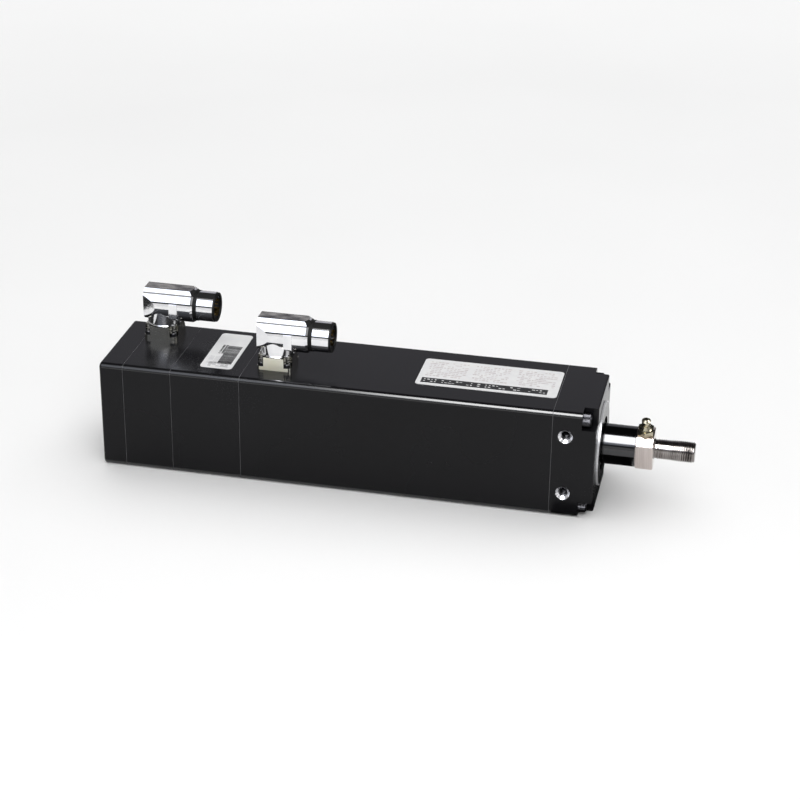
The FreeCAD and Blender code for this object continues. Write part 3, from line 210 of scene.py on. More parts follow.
class Shape:
    # one Geometry Nodes tree under construction, with named inputs
    def __init__(self, name, **inputs):
        self.tree = bpy.data.node_groups.new(name, "GeometryNodeTree")
        face = self.tree.interface
        face.new_socket("Geometry", in_out="INPUT", socket_type="NodeSocketGeometry")
        self.ids = {}
        for label, kind in inputs.items():
            socket = face.new_socket(label, in_out="INPUT", socket_type="NodeSocket" + kind)
            self.ids[label] = socket.identifier
        face.new_socket("Geometry", in_out="OUTPUT", socket_type="NodeSocketGeometry")
        self.entry = self.tree.nodes.new("NodeGroupInput")

    def input(self, label):
        return Value(self.tree, self.entry.outputs[label])

    def add(self, kind, settings=None, inputs=None):
        return addNode(self.tree, kind, settings, inputs)

    def end(self, geometry):
        solid = self.add("GeometryNodeRealizeInstances", inputs={"Geometry": geometry})
        dressed = self.add("GeometryNodeSetMaterial", inputs={
            "Geometry": solid.outputs[0], "Material": self.entry.outputs["material"]})
        outlet = self.tree.nodes.new("NodeGroupOutput")
        self.tree.links.new(dressed.outputs[0], outlet.inputs[0])

    def make(self, name, body, slot, points, **values):
        # runs the tree on a set of points and leaves a plain mesh that rides on one body
        seed = bpy.data.meshes.new(name + "Points")
        seed.from_pydata(points, [], [])
        holder = bpy.data.objects.new(name + "Points", seed)
        bpy.context.scene.collection.objects.link(holder)
        modifier = holder.modifiers.new("shape", "NODES")
        modifier.node_group = self.tree
        for label, value in values.items():
            modifier[self.ids[label]] = value
        graph = bpy.context.evaluated_depsgraph_get()
        mesh = bpy.data.meshes.new_from_object(holder.evaluated_get(graph))
        holder.modifiers.remove(modifier)
        bpy.data.objects.remove(holder)
        return pieceFrom(name, mesh, body)


def pieceFrom(name, mesh, body):
    piece = bpy.data.objects.new(name, mesh)
    bpy.context.scene.collection.objects.link(piece)
    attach(piece, body)
    return piece


def smooth(piece, degrees):
    # normals that came with a copied mesh no longer fit it
    if "custom_normal" in piece.data.attributes:
        piece.data.attributes.remove(piece.data.attributes["custom_normal"])
    piece.data.shade_smooth()
    piece.data.set_sharp_from_angle(angle=math.radians(degrees))
    return piece


# finishes: a function for each kind of surface, then one material for each slot

cloudDetail = 3.0  # of the noise that tones drift with

housingLook = {
    "black": (0.0042, 0.0041, 0.0050),
    "grey": (0.0062, 0.0061, 0.0074),
    "bare": (0.82, 0.82, 0.84),
    "specular": 0.16,
    "rough": (0.20, 0.27),
    "cloudScale": 9.0,
    "grainRough": (-0.02, 0.02),
    "grainScale": 900.0,
    "grainBump": 0.02 * mm,
    "grainStrength": 0.25,
    "coat": 0.04,
    "coatRough": 0.09,
    "edgeCoat": 0.8,
    "edgeFrom": 38.6 * mm,
    "holeX": -22.0 * mm,
    "holeZ": 23.0 * mm,
    "holeRim": 5.45 * mm,
    "holeFloor": 39.7 * mm,
    "face": 41.98 * mm,
    "rimIn": 30.8 * mm,
    "rimOut": 31.8 * mm,
    "rimFrom": 0.05 * mm,
    "rimMetal": 0.4,
}


def blackHousing():
    look = housingLook
    finish = Finish("blackHousing", {
        "Specular IOR Level": look["specular"], "Coat Roughness": look["coatRough"]})
    x, y, z = finish.place()
    cloud = finish.noise(look["cloudScale"], cloudDetail)
    grain = finish.noise(look["grainScale"])
    # the countersinks of the side holes are cut after the finish, so they are bare metal
    across = x - look["holeX"]
    up = abs(z) - look["holeZ"]
    near = (across * across + up * up).root() < look["holeRim"]
    depth = (abs(y) > look["holeFloor"]) * (abs(y) < look["face"])
    # so is the rim of the front pilot, but it is duller
    radius = (y * y + z * z).root()
    rim = (x > look["rimFrom"]) * (radius > look["rimIn"]) * (radius < look["rimOut"])
    black = finish.tones(cloud, look["black"], look["grey"])
    finish.set("Base Color", finish.mix(near * depth + rim, black, look["bare"]))
    finish.set("Metallic", near * depth + rim * look["rimMetal"])
    # the rounded long edges are the glossiest
    edge = (abs(y) > look["edgeFrom"]) * (abs(z) > look["edgeFrom"])
    finish.set("Coat Weight", look["coat"] + edge * look["edgeCoat"])
    rough = finish.spread(cloud, *look["rough"])
    finish.set("Roughness", rough + finish.spread(grain, *look["grainRough"]))
    finish.bump(grain, look["grainBump"], look["grainStrength"])
    return finish.material


# plain metals, whose tone and gloss drift a little over the surface
metalDrift = (0.8, 1.25)
metalRows = {
    "zinc_steel": {
        "name": "zincScrews", "colour": (0.62, 0.62, 0.64), "dark": (0.5, 0.5, 0.52),
        "rough": 0.22, "scale": 300.0},
    "black_steel": {
        "name": "blackScrews", "colour": (0.06, 0.06, 0.065), "dark": (0.045, 0.045, 0.05),
        "rough": 0.3, "scale": 300.0},
    "bearing_bronze": {
        "name": "bronze", "colour": (0.55, 0.39, 0.19), "dark": (0.45, 0.3, 0.14),
        "rough": 0.3, "scale": 60.0},
    "copper": {
        "name": "windingCopper", "colour": (0.62, 0.27, 0.11), "dark": (0.5, 0.2, 0.08),
        "rough": 0.35, "scale": 200.0},
    "bearing_steel": {
        "name": "bearingSteel", "colour": (0.66, 0.66, 0.68), "dark": (0.58, 0.58, 0.6),
        "rough": 0.14, "scale": 120.0},
    "magnet": {
        "name": "platedMagnet", "colour": (0.4, 0.4, 0.42), "dark": (0.32, 0.32, 0.34),
        "rough": 0.3, "scale": 60.0},
    "black_rod": {
        "name": "blackRod", "colour": (0.072, 0.072, 0.074), "dark": (0.057, 0.057, 0.059),
        "rough": 0.10, "scale": 40.0},
    "nipple_brass": {
        "name": "nippleBrass", "colour": (0.56, 0.52, 0.40), "dark": (0.40, 0.36, 0.26),
        "rough": 0.16, "scale": 200.0},
    # the contact pins' gold is painted dark, as painted shade for their place deep in the connector's
    # mouth
    "contact_gold": {
        "name": "contactGoldPaintedShade", "colour": (0.24, 0.17, 0.06), "dark": (0.18, 0.12, 0.04),
        "rough": 0.35, "scale": 400.0},
}


def metal(name, colour, dark, rough, scale):
    finish = Finish(name, {"Metallic": 1.0})
    cloud = finish.noise(scale, cloudDetail)
    finish.set("Base Color", finish.tones(cloud, colour, dark))
    finish.set("Roughness", finish.spread(cloud, *(rough * share for share in metalDrift)))
    return finish.material


# plastics, rubber, linings and labels; the inks of the print use the same function
plasticDrift = (0.85, 1.15)
plasticRows = {
    # the seam seal's grey, lighter than the black housing, is partly painted highlight for the light that
    # the section edges catch at each seam
    "gasket": {
        "name": "seamSealPaintedGlint", "colour": (0.13, 0.13, 0.135), "other": (0.07, 0.07, 0.075),
        "rough": 0.4, "scale": 80.0},
    "black_rubber": {
        "name": "blackRubber", "colour": (0.005, 0.005, 0.005), "other": (0.009, 0.009, 0.009),
        "rough": 0.6, "scale": 80.0, "specular": 0.12},
    "cage_plastic": {
        "name": "cagePlastic", "colour": (0.75, 0.68, 0.5), "other": (0.66, 0.6, 0.43),
        "rough": 0.5, "scale": 80.0},
    "friction_lining": {
        "name": "brakeLining", "colour": (0.2, 0.17, 0.15), "other": (0.1, 0.08, 0.07),
        "rough": 0.8, "scale": 700.0},
    "circuit_board": {
        "name": "circuitBoard", "colour": (0.03, 0.2, 0.07), "other": (0.05, 0.28, 0.1),
        "rough": 0.4, "scale": 150.0},
    "label_white": {
        "name": "labelWhite", "colour": (0.74, 0.74, 0.74), "other": (0.68, 0.68, 0.69),
        "rough": 0.45, "scale": 120.0},
    "black_plastic": {
        "name": "bushBlack", "colour": (0.004, 0.004, 0.004), "other": (0.007, 0.007, 0.007),
        "rough": 0.5, "scale": 80.0, "specular": 0.15},
    "insert_plastic": {
        "name": "insertPlastic", "colour": (0.006, 0.006, 0.006), "other": (0.01, 0.01, 0.01),
        "rough": 0.5, "scale": 80.0, "specular": 0.2},
}


def plastic(name, colour, other, rough, scale, specular=0.4):
    finish = Finish(name, {"Specular IOR Level": specular})
    cloud = finish.noise(scale, cloudDetail)
    finish.set("Base Color", finish.tones(cloud, colour, other))
    finish.set("Roughness", finish.spread(cloud, *(rough * share for share in plasticDrift)))
    return finish.material


# turned metal: lathe marks run round the X axis, so the tone changes along X
turnLook = {
    "ripple": 0.1,
    "scale": 500.0,
    "stretch": (1, 0.05, 0.05),
    "bump": 0.01 * mm,
    "strength": 0.4,
}
turnedRows = {
    "machined_steel": {
        "name": "machinedSteel", "colour": (0.52, 0.52, 0.54), "dark": (0.42, 0.42, 0.44),
        "rough": 0.3, "pitch": 0.2 * mm},
    "machined_aluminium": {
        "name": "machinedAlu", "colour": (0.72, 0.72, 0.74), "dark": (0.62, 0.62, 0.64),
        "rough": 0.3, "pitch": 0.2 * mm},
}


def latheMarks(finish, x, pitch):
    look = turnLook
    marks = (x / pitch).sine() * look["ripple"] + finish.noise(look["scale"], stretch=look["stretch"])
    finish.bump(marks, look["bump"], look["strength"])
    return marks


def turned(name, colour, dark, rough, pitch):
    finish = Finish(name, {"Metallic": 1.0})
    marks = latheMarks(finish, finish.place()[0], pitch)
    finish.set("Base Color", finish.tones(marks, colour, dark))
    finish.set("Roughness", finish.spread(marks, *(rough * share for share in metalDrift)))
    return finish.material


rodEndLook = {
    "collar": (0.71, 0.64, 0.61),
    "collarDark": (0.60, 0.53, 0.50),
    "stud": (0.30, 0.28, 0.27),
    "studDark": (0.21, 0.19, 0.18),
    "studFrom": 39.05 * mm,
    "rough": (0.09, 0.14),
    "pitch": 0.22 * mm,
}


def rodEndSteel():
    # turned all over, the stud darker than the collar
    look = rodEndLook
    finish = Finish("rodEndSteel", {"Metallic": 1.0})
    x = finish.place()[0]
    marks = latheMarks(finish, x, look["pitch"])
    collar = finish.tones(marks, look["collar"], look["collarDark"])
    stud = finish.tones(marks, look["stud"], look["studDark"])
    finish.set("Base Color", finish.mix(x > look["studFrom"], collar, stud))
    finish.set("Roughness", finish.spread(marks, *look["rough"]))
    return finish.material


castLook = {
    "bright": (0.88, 0.88, 0.89),
    "dull": (0.76, 0.76, 0.78),
    "scale": 110.0,
    "rough": (0.05, 0.075),
    "bump": 0.03 * mm,
    "landTop": 81.1 * mm,
    "landLight": (0.66, 0.64, 0.59),
    "landDark": (0.10, 0.10, 0.105),
    "landRough": 0.14,
    "streakScale": 240.0,
    "streakStretch": (0.4, 1, 1),
}


def platedCasting():
    # bright all over, but the flat land on top is left as cast, so it is mottled
    look = castLook
    finish = Finish("platedCasting", {"Metallic": 1.0})
    cloud = finish.noise(look["scale"], cloudDetail)
    streaks = finish.noise(look["streakScale"], cloudDetail, look["streakStretch"])
    land = finish.place()[2] > look["landTop"]
    plated = finish.tones(cloud, look["bright"], look["dull"])
    cast = finish.tones(streaks, look["landLight"], look["landDark"])
    finish.set("Base Color", finish.mix(land, plated, cast))
    finish.set("Roughness", finish.spread(cloud, *look["rough"]) + land * look["landRough"])
    finish.bump(cloud, look["bump"])
    return finish.material


flangeLook = {
    # the flange plating is painted darker than the elbows' plating, as painted shade
    "bright": (0.66, 0.645, 0.58),
    "shade": (0.56, 0.545, 0.48),
    "scale": 70.0,
    "rough": (0.13, 0.20),
    "bump": 0.02 * mm,
    # where the painted highlight on the flange's near face lies, its pale cream tones, the metal it loses
    # and its added roughness
    "paintedGlareFrom": -300.0 * mm,
    "paintedGlareFront": -23.2 * mm,
    "dull": (0.93, 0.91, 0.79),
    "paintedGlareShade": (0.86, 0.83, 0.62),
    "paintedGlareLoss": 0.85,
    "paintedGlareRough": 0.25,
}


def flangePlating():
    # warmer and darker in tone than the elbows, and the darker tone is painted shade; the near face of
    # the flange nearer the rod is painted pale cream and dull, as a painted highlight
    look = flangeLook
    finish = Finish("flangePlating", {})
    x, y = finish.place()[:2]
    cloud = finish.noise(look["scale"], cloudDetail)
    # painted highlight: this mask gives the near face of the flange nearer the rod a pale cream, mostly
    # diffuse copy of the plating
    dull = (x > look["paintedGlareFrom"]) * (y < look["paintedGlareFront"])
    plated = finish.tones(cloud, look["bright"], look["shade"])
    paintedGlare = finish.tones(cloud, look["dull"], look["paintedGlareShade"])
    finish.set("Base Color", finish.mix(dull, plated, paintedGlare))
    finish.set("Metallic", 1 - dull * look["paintedGlareLoss"])
    finish.set("Roughness", finish.spread(cloud, *look["rough"]) + dull * look["paintedGlareRough"])
    finish.bump(cloud, look["bump"])
    return finish.material


sheetLook = {
    "steel": (0.33, 0.33, 0.35),
    "edge": (0.08, 0.08, 0.09),
    "thick": 0.5 * mm,
    "gap": 0.08 * mm,
    "scale": 40.0,
    "rough": (0.4, 0.55),
}


def stackedSheets():
    # the stator core is a pile of thin sheets along X
    look = sheetLook
    finish = Finish("coreSheets", {"Metallic": 1.0})
    edge = (finish.place()[0] % look["thick"]) < look["gap"]
    finish.set("Base Color", finish.mix(edge, look["steel"], look["edge"]))
    finish.set("Roughness", finish.spread(finish.noise(look["scale"]), *look["rough"]))
    return finish.material


def makeFinishes():
    made = {
        "black_housing": blackHousing(),
        "chrome_zinc": platedCasting(),
        "lamination": stackedSheets(),
        "rod_end_steel": rodEndSteel(),
    }
    for kind, rows in ((metal, metalRows), (plastic, plasticRows), (turned, turnedRows)):
        for slot, row in rows.items():
            made[slot] = kind(**row)
    # the flanges share a slot with the elbows but not their finish
    flange = flangePlating()
    for node, piece in nodes.items():
        piece.data.materials.clear()
        piece.data.materials.append(flange if node == "connector_flanges" else made[slotOf[node]])
    return made


finishes = makeFinishes()
print("finishes made:", len(finishes))


# socket head screws: knurled head with a hexagon socket, bevelled rim and plain shank

screwRows = {
    "corner": {"node": "corner_screws", "head": 10.0, "long": 6.0, "key": 5.0, "shank": 6.0, "ribs": 36,
               "turn": (0.0, math.pi / 2, 0.0), "side": ("x", 1)},
    "tie": {"node": "tie_screws", "head": 8.5, "long": 5.0, "key": 4.0, "shank": 5.0, "ribs": 32,
            "turn": (0.0, -math.pi / 2, 0.0), "side": ("x", -1)},
    "flange": {"node": "flange_screws", "head": 5.5, "long": 3.0, "key": 2.5, "shank": 3.0, "ribs": 24,
               "turn": (0.0, 0.0, 0.0), "side": ("z", 1)},
}
# shares of the head's size (crownDeep of the bevel), then sides, and the degrees that stay a sharp edge
headShape = {
    "bevel": 0.07,
    "knurl": 0.035,
    "crownLow": 0.48,
    "crownHigh": 0.42,
    "crownDeep": 1.5,
    "shankInto": 0.2,
    "crownSides": 48,
    "shankSides": 32,
    "sharp": 25,
}


def raised(shape, geometry, height):
    place = shape.add("ShaderNodeCombineXYZ", inputs={"Z": height})
    return shape.add("GeometryNodeTransform", inputs={
        "Geometry": geometry, "Translation": place.outputs[0]}).outputs[0]


def screwTree():
    shape = Shape("capScrew", headWidth="Float", headLength="Float", keyWidth="Float",
                  shankWidth="Float", shankLength="Float", ribs="Int", turn="Vector", material="Material")
    wide = shape.input("headWidth")
    long = shape.input("headLength")
    bevel = wide * headShape["bevel"]
    # the knurl: every other corner of the head's outline stands back
    drum = shape.add("GeometryNodeMeshCylinder", inputs={
        "Vertices": shape.input("ribs") * 2, "Radius": wide / 2, "Depth": long - bevel})
    index = Value(shape.tree, shape.add("GeometryNodeInputIndex").outputs[0])
    back = 1 - (index % 2) * headShape["knurl"]
    scale = shape.add("ShaderNodeCombineXYZ", inputs={"X": back, "Y": back, "Z": 1.0})
    position = shape.add("GeometryNodeInputPosition").outputs[0]
    knurl = shape.add("ShaderNodeVectorMath", {"operation": "MULTIPLY"}, {
        0: position, 1: scale.outputs[0]})
    ribbed = shape.add("GeometryNodeSetPosition", inputs={
        "Geometry": drum.outputs["Mesh"], "Position": knurl.outputs[0]})
    deep = bevel * headShape["crownDeep"]
    crown = shape.add("GeometryNodeMeshCone", inputs={
        "Vertices": headShape["crownSides"], "Radius Bottom": wide * headShape["crownLow"],
        "Radius Top": wide * headShape["crownHigh"], "Depth": deep})
    head = shape.add("GeometryNodeMeshBoolean", {"operation": "UNION"})
    drumUp = raised(shape, ribbed.outputs[0], (long - bevel) / 2)
    crownUp = raised(shape, crown.outputs["Mesh"], long - deep)
    for part in (drumUp, crownUp):
        shape.tree.links.new(part, head.inputs["Mesh 2"])
    key = shape.add("GeometryNodeMeshCylinder", inputs={
        "Vertices": 6, "Radius": shape.input("keyWidth") / math.sqrt(3), "Depth": long})
    socketed = shape.add("GeometryNodeMeshBoolean", {"operation": "DIFFERENCE"}, {
        "Mesh 1": head.outputs[0]})
    shape.tree.links.new(raised(shape, key.outputs["Mesh"], long), socketed.inputs["Mesh 2"])
    reach = shape.input("shankLength")
    into = long * headShape["shankInto"]
    shank = shape.add("GeometryNodeMeshCylinder", inputs={
        "Vertices": headShape["shankSides"], "Radius": shape.input("shankWidth") / 2,
        "Depth": reach + into})
    screw = shape.add("GeometryNodeJoinGeometry")
    for part in (raised(shape, shank.outputs["Mesh"], into / 2 - reach / 2), socketed.outputs[0]):
        shape.tree.links.new(part, screw.inputs[0])
    rows = shape.add("GeometryNodeInstanceOnPoints", inputs={
        "Points": shape.entry.outputs["Geometry"], "Instance": screw.outputs[0],
        "Rotation": shape.input("turn")})
    shape.end(rows.outputs[0])
    return shape


def screwPlaces(row):
    # seats under the heads, found from the CAD screws: one for each separate solid
    mesh = bmesh.new()
    mesh.from_mesh(nodes[row["node"]].data)
    bmesh.ops.remove_doubles(mesh, verts=mesh.verts, dist=weld)
    axis = "xyz".index(row["side"][0])
    sign = row["side"][1]
    seats = []
    reach = 0.0
    left = set(mesh.verts)
    while left:
        cluster = set()
        queue = [left.pop()]
        while queue:
            vert = queue.pop()
            cluster.add(vert)
            for edge in vert.link_edges:
                other = edge.other_vert(vert)
                if other in left:
                    left.discard(other)
                    queue.append(other)
        low = Vector([min(v.co[i] for v in cluster) for i in range(3)])
        high = Vector([max(v.co[i] for v in cluster) for i in range(3)])
        middle = (low + high) / 2
        top = high[axis] if sign > 0 else low[axis]
        middle[axis] = top - sign * row["long"] * mm
        seats.append(tuple(middle))
        reach = high[axis] - low[axis] - row["long"] * mm
    mesh.free()
    return sorted(seats), reach


def makeScrews():
    tree = screwTree()
    for name, row in screwRows.items():
        places, reach = screwPlaces(row)
        node = row["node"]
        piece = tree.make(
            name + "Screws", bodyOf[node], slotOf[node], places,
            headWidth=row["head"] * mm, headLength=row["long"] * mm, keyWidth=row["key"] * mm,
            shankWidth=row["shank"] * mm, shankLength=reach, ribs=row["ribs"], turn=row["turn"],
            material=finishes[slotOf[node]])
        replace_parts(smooth(piece, headShape["sharp"]), node)


makeScrews()
print("screws made")


# threads: one ridge that winds round an axis

studThread = {"from": 42.5, "to": 67.4, "pitch": 1.5, "root": 7.15, "crest": 7.98}
holeThread = {
    "x": -22.0, "z": 23.0, "floor": 28.6, "mouth": 40.0, "pitch": 1.25, "root": 3.5, "crest": 3.12}
# the threads of the side holes are painted dark steel, as painted shade for the inside of the holes
holeSteelPaintedShade = {
    "name": "cutThreadPaintedShade", "colour": (0.2, 0.2, 0.21), "dark": (0.12, 0.12, 0.13),
    "rough": 0.3, "scale": 300.0}
# half widths of the ridge in pitches, and steps in a turn
ridgeShape = {"root": 0.47, "crest": 0.03, "steps": 40}


def threadTree():
    shape = Shape("threadRidge", root="Float", crest="Float", pitch="Float", length="Float",
                  turn="Vector", material="Material")
    pitch = shape.input("pitch")
    length = shape.input("length")
    root = shape.input("root")
    path = shape.add("GeometryNodeCurveSpiral", inputs={
        "Resolution": ridgeShape["steps"], "Rotations": length / pitch,
        "Start Radius": root, "End Radius": root, "Height": length})
    # the ridge's section is low, wide at the root and narrow at the crest
    rise = shape.input("crest") - root
    low = ridgeShape["root"]
    top = ridgeShape["crest"]
    corners = [(-low, 0.0), (-top, 1.0), (top, 1.0), (low, 0.0)]
    section = shape.add("GeometryNodeCurvePrimitiveQuadrilateral", {"mode": "POINTS"})
    for index, (along, out) in enumerate(corners):
        point = shape.add("ShaderNodeCombineXYZ", inputs={"X": rise * out, "Y": pitch * along})
        shape.tree.links.new(point.outputs[0], section.inputs["Point %d" % (index + 1)])
    ridge = shape.add("GeometryNodeCurveToMesh", inputs={
        "Curve": path.outputs[0], "Profile Curve": section.outputs[0], "Fill Caps": True})
    rows = shape.add("GeometryNodeInstanceOnPoints", inputs={
        "Points": shape.entry.outputs["Geometry"], "Instance": ridge.outputs[0],
        "Rotation": shape.input("turn")})
    shape.end(rows.outputs[0])
    return shape


def makeThreads():
    tree = threadTree()
    row = studThread
    tree.make(
        "studThread", bodyOf["rod_end"], slotOf["rod_end"], [(row["from"] * mm, 0, 0)],
        root=row["root"] * mm, crest=row["crest"] * mm, pitch=row["pitch"] * mm,
        length=(row["to"] - row["from"]) * mm, turn=(0.0, math.pi / 2, 0.0),
        material=finishes["rod_end_steel"])
    row = holeThread
    dull = metal(**holeSteelPaintedShade)
    for name, side in (("near", -1), ("far", 1)):
        places = [(row["x"] * mm, side * row["floor"] * mm, level * row["z"] * mm) for level in (-1, 1)]
        tree.make(
            name + "HoleThreads", bodyOf["front_housing"], "zinc_steel", places,
            root=row["root"] * mm, crest=row["crest"] * mm, pitch=row["pitch"] * mm,
            length=(row["mouth"] - row["floor"]) * mm, turn=(-side * math.pi / 2, 0.0, 0.0),
            material=dull)


# the stud's outside lies within the slack of the crest, from a little before the thread
rodEndShape = {"slack": 0.1, "before": 1.5, "sharp": 30}


def makeRodEnd():
    # the CAD stud is a plain rod at the thread's outside; here it goes down to the thread's root
    copy = nodes["rod_end"].data.copy()
    mesh = bmesh.new()
    mesh.from_mesh(copy)
    bmesh.ops.remove_doubles(mesh, verts=mesh.verts, dist=weld)
    row = studThread
    outside = (row["crest"] - rodEndShape["slack"]) * mm
    start = (row["from"] - rodEndShape["before"]) * mm
    for vert in mesh.verts:
        radius = math.hypot(vert.co.y, vert.co.z)
        if vert.co.x > start and radius > outside:
            vert.co.y *= row["root"] * mm / radius
            vert.co.z *= row["root"] * mm / radius
    mesh.to_mesh(copy)
    mesh.free()
    piece = pieceFrom("rodEnd", copy, bodyOf["rod_end"])
    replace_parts(smooth(piece, rodEndShape["sharp"]), "rod_end")


makeThreads()
makeRodEnd()
print("threads made")


# print on the labels: fields of strips of many lengths and widths

# where each field lies from its label's middle, how many strips, how far apart and how large
printRows = {
    "codeBars": {"label": "code_label", "at": (4.3, -6.5), "ink": "black", "count": (1, 17),
                 "pitch": (1.0, 1.9), "long": (11.0, 11.0), "wide": (1.1, 1.9), "share": 1.0, "seed": 3},
    "codeLine": {"label": "code_label", "at": (-3.4, 2.5), "ink": "black", "count": (2, 12),
                 "pitch": (2.3, 1.3), "long": (1.4, 2.1), "wide": (0.8, 1.3), "share": 0.9, "seed": 5},
    "codeField": {"label": "code_label", "at": (0.5, -24.5), "ink": "grey", "count": (5, 4),
                  "pitch": (3.2, 1.9), "long": (2.0, 3.2), "wide": (1.0, 1.6), "share": 0.9, "seed": 7},
    "codeNote": {"label": "code_label", "at": (-5.6, -17.0), "ink": "pale", "count": (2, 7),
                 "pitch": (4.2, 1.9), "long": (2.8, 4.0), "wide": (1.0, 1.5), "share": 0.9, "seed": 9},
    "dataLeft": {"label": "data_label", "at": (-33.0, 5.6), "ink": "warm", "count": (11, 9),
                 "pitch": (2.7, 2.9), "long": (1.2, 2.9), "wide": (0.9, 1.8), "share": 0.8, "seed": 11},
    "dataMiddle": {"label": "data_label", "at": (0.0, 5.6), "ink": "warm", "count": (10, 9),
                   "pitch": (2.7, 2.9), "long": (1.2, 2.9), "wide": (0.9, 1.8), "share": 0.7, "seed": 12},
    "dataRight": {"label": "data_label", "at": (34.0, 5.6), "ink": "warm", "count": (11, 9),
                  "pitch": (2.7, 2.9), "long": (1.2, 2.9), "wide": (0.9, 1.8), "share": 0.75, "seed": 14},
    "dataBand": {"label": "data_label", "at": (-2.0, -14.6), "ink": "black", "count": (1, 1),
                 "pitch": (1.0, 1.0), "long": (94.0, 94.0), "wide": (8.4, 8.4), "share": 1.0, "seed": 13},
    "dataMarks": {"label": "data_label", "at": (-2.0, -14.6), "ink": "white", "count": (34, 2),
                  "pitch": (2.7, 3.2), "long": (0.8, 2.3), "wide": (0.6, 1.6), "share": 0.6, "seed": 17,
                  "lift": 0.04},
}
inkTones = {
    "black": ((0.010, 0.010, 0.011), (0.018, 0.018, 0.02)),
    "grey": ((0.42, 0.42, 0.43), (0.34, 0.34, 0.35)),
    "pale": ((0.62, 0.62, 0.63), (0.54, 0.54, 0.55)),
    "warm": ((0.60, 0.56, 0.56), (0.48, 0.44, 0.45)),
    "white": ((0.72, 0.72, 0.72), (0.66, 0.66, 0.66)),
}
inkLook = {"rough": 0.5, "scale": 300.0, "lift": 0.02}


def printTree():
    shape = Shape("printBars", countX="Int", countY="Int", pitchX="Float", pitchY="Float",
                  lengthLow="Float", lengthHigh="Float", widthLow="Float", widthHigh="Float",
                  share="Float", seed="Int", material="Material")
    stepX = shape.input("pitchX")
    stepY = shape.input("pitchY")
    grid = shape.add("GeometryNodeMeshGrid", inputs={
        "Size X": stepX * (shape.input("countX") - 1), "Size Y": stepY * (shape.input("countY") - 1),
        "Vertices X": shape.input("countX"), "Vertices Y": shape.input("countY")})
    seed = shape.input("seed")
    keep = shape.add("FunctionNodeRandomValue", {"data_type": "FLOAT"}, {"Seed": seed})
    some = Value(shape.tree, keep.outputs["Value"]) < shape.input("share")
    long = shape.add("FunctionNodeRandomValue", {"data_type": "FLOAT"}, {
        "Min": shape.input("lengthLow"), "Max": shape.input("lengthHigh"), "Seed": seed + 1})
    wide = shape.add("FunctionNodeRandomValue", {"data_type": "FLOAT"}, {
        "Min": shape.input("widthLow"), "Max": shape.input("widthHigh"), "Seed": seed + 2})
    strip = shape.add("GeometryNodeMeshGrid", inputs={
        "Size X": 1.0, "Size Y": 1.0, "Vertices X": 2, "Vertices Y": 2})
    size = shape.add("ShaderNodeCombineXYZ", inputs={
        "X": long.outputs["Value"], "Y": wide.outputs["Value"], "Z": 1.0})
    strips = shape.add("GeometryNodeInstanceOnPoints", inputs={
        "Points": grid.outputs["Mesh"], "Selection": some, "Instance": strip.outputs["Mesh"],
        "Scale": size.outputs[0]})
    rows = shape.add("GeometryNodeInstanceOnPoints", inputs={
        "Points": shape.entry.outputs["Geometry"], "Instance": strips.outputs[0]})
    shape.end(rows.outputs[0])
    return shape


def makePrint():
    inks = {
        name: plastic(name + "Ink", *tones, inkLook["rough"], inkLook["scale"])
        for name, tones in inkTones.items()
    }
    tree = printTree()
    for name, row in printRows.items():
        low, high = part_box(row["label"])
        middle = (low + high) / 2
        along, across = row["at"]
        lift = row.get("lift", inkLook["lift"])
        place = (middle.x + along * mm, middle.y + across * mm, high.z + lift * mm)
        tree.make(
            name, bodyOf[row["label"]], slotOf[row["label"]], [place],
            countX=row["count"][0], countY=row["count"][1],
            pitchX=row["pitch"][0] * mm, pitchY=row["pitch"][1] * mm,
            lengthLow=row["long"][0] * mm, lengthHigh=row["long"][1] * mm,
            widthLow=row["wide"][0] * mm, widthHigh=row["wide"][1] * mm,
            share=row["share"], seed=row["seed"], material=inks[row["ink"]])


makePrint()
print("labels printed")


# room: pale floor, soft light, and cards that only mirror in what is glossy

room = {
    "floor": -42.05 * mm,
    "floorSize": 14.0,
    "floorPale": (0.92, 0.92, 0.92),
    "floorGrey": (0.9, 0.9, 0.9),
    "floorScale": 3.0,
    "floorRough": 0.9,
    "floorSpecular": 0.1,
    "farFrom": 1.0,
    "farTo": 5.0,
    "farTone": (0.58, 0.58, 0.58),
    "world": 0.34,
    "aim": (-0.15, 0.0, 0.0),
    "cardEnd": (0.1, 0.1, 0.1),
    "cardTint": (1.0, 1.0, 1.0),
}
lights = {
    "key": {"place": (0.10, -0.85, 1.0), "size": (0.8, 0.75), "power": 5.0},
    "top": {"place": (-0.1, 0.9, 3.2), "size": (5.0, 5.0), "power": 112.0},
}
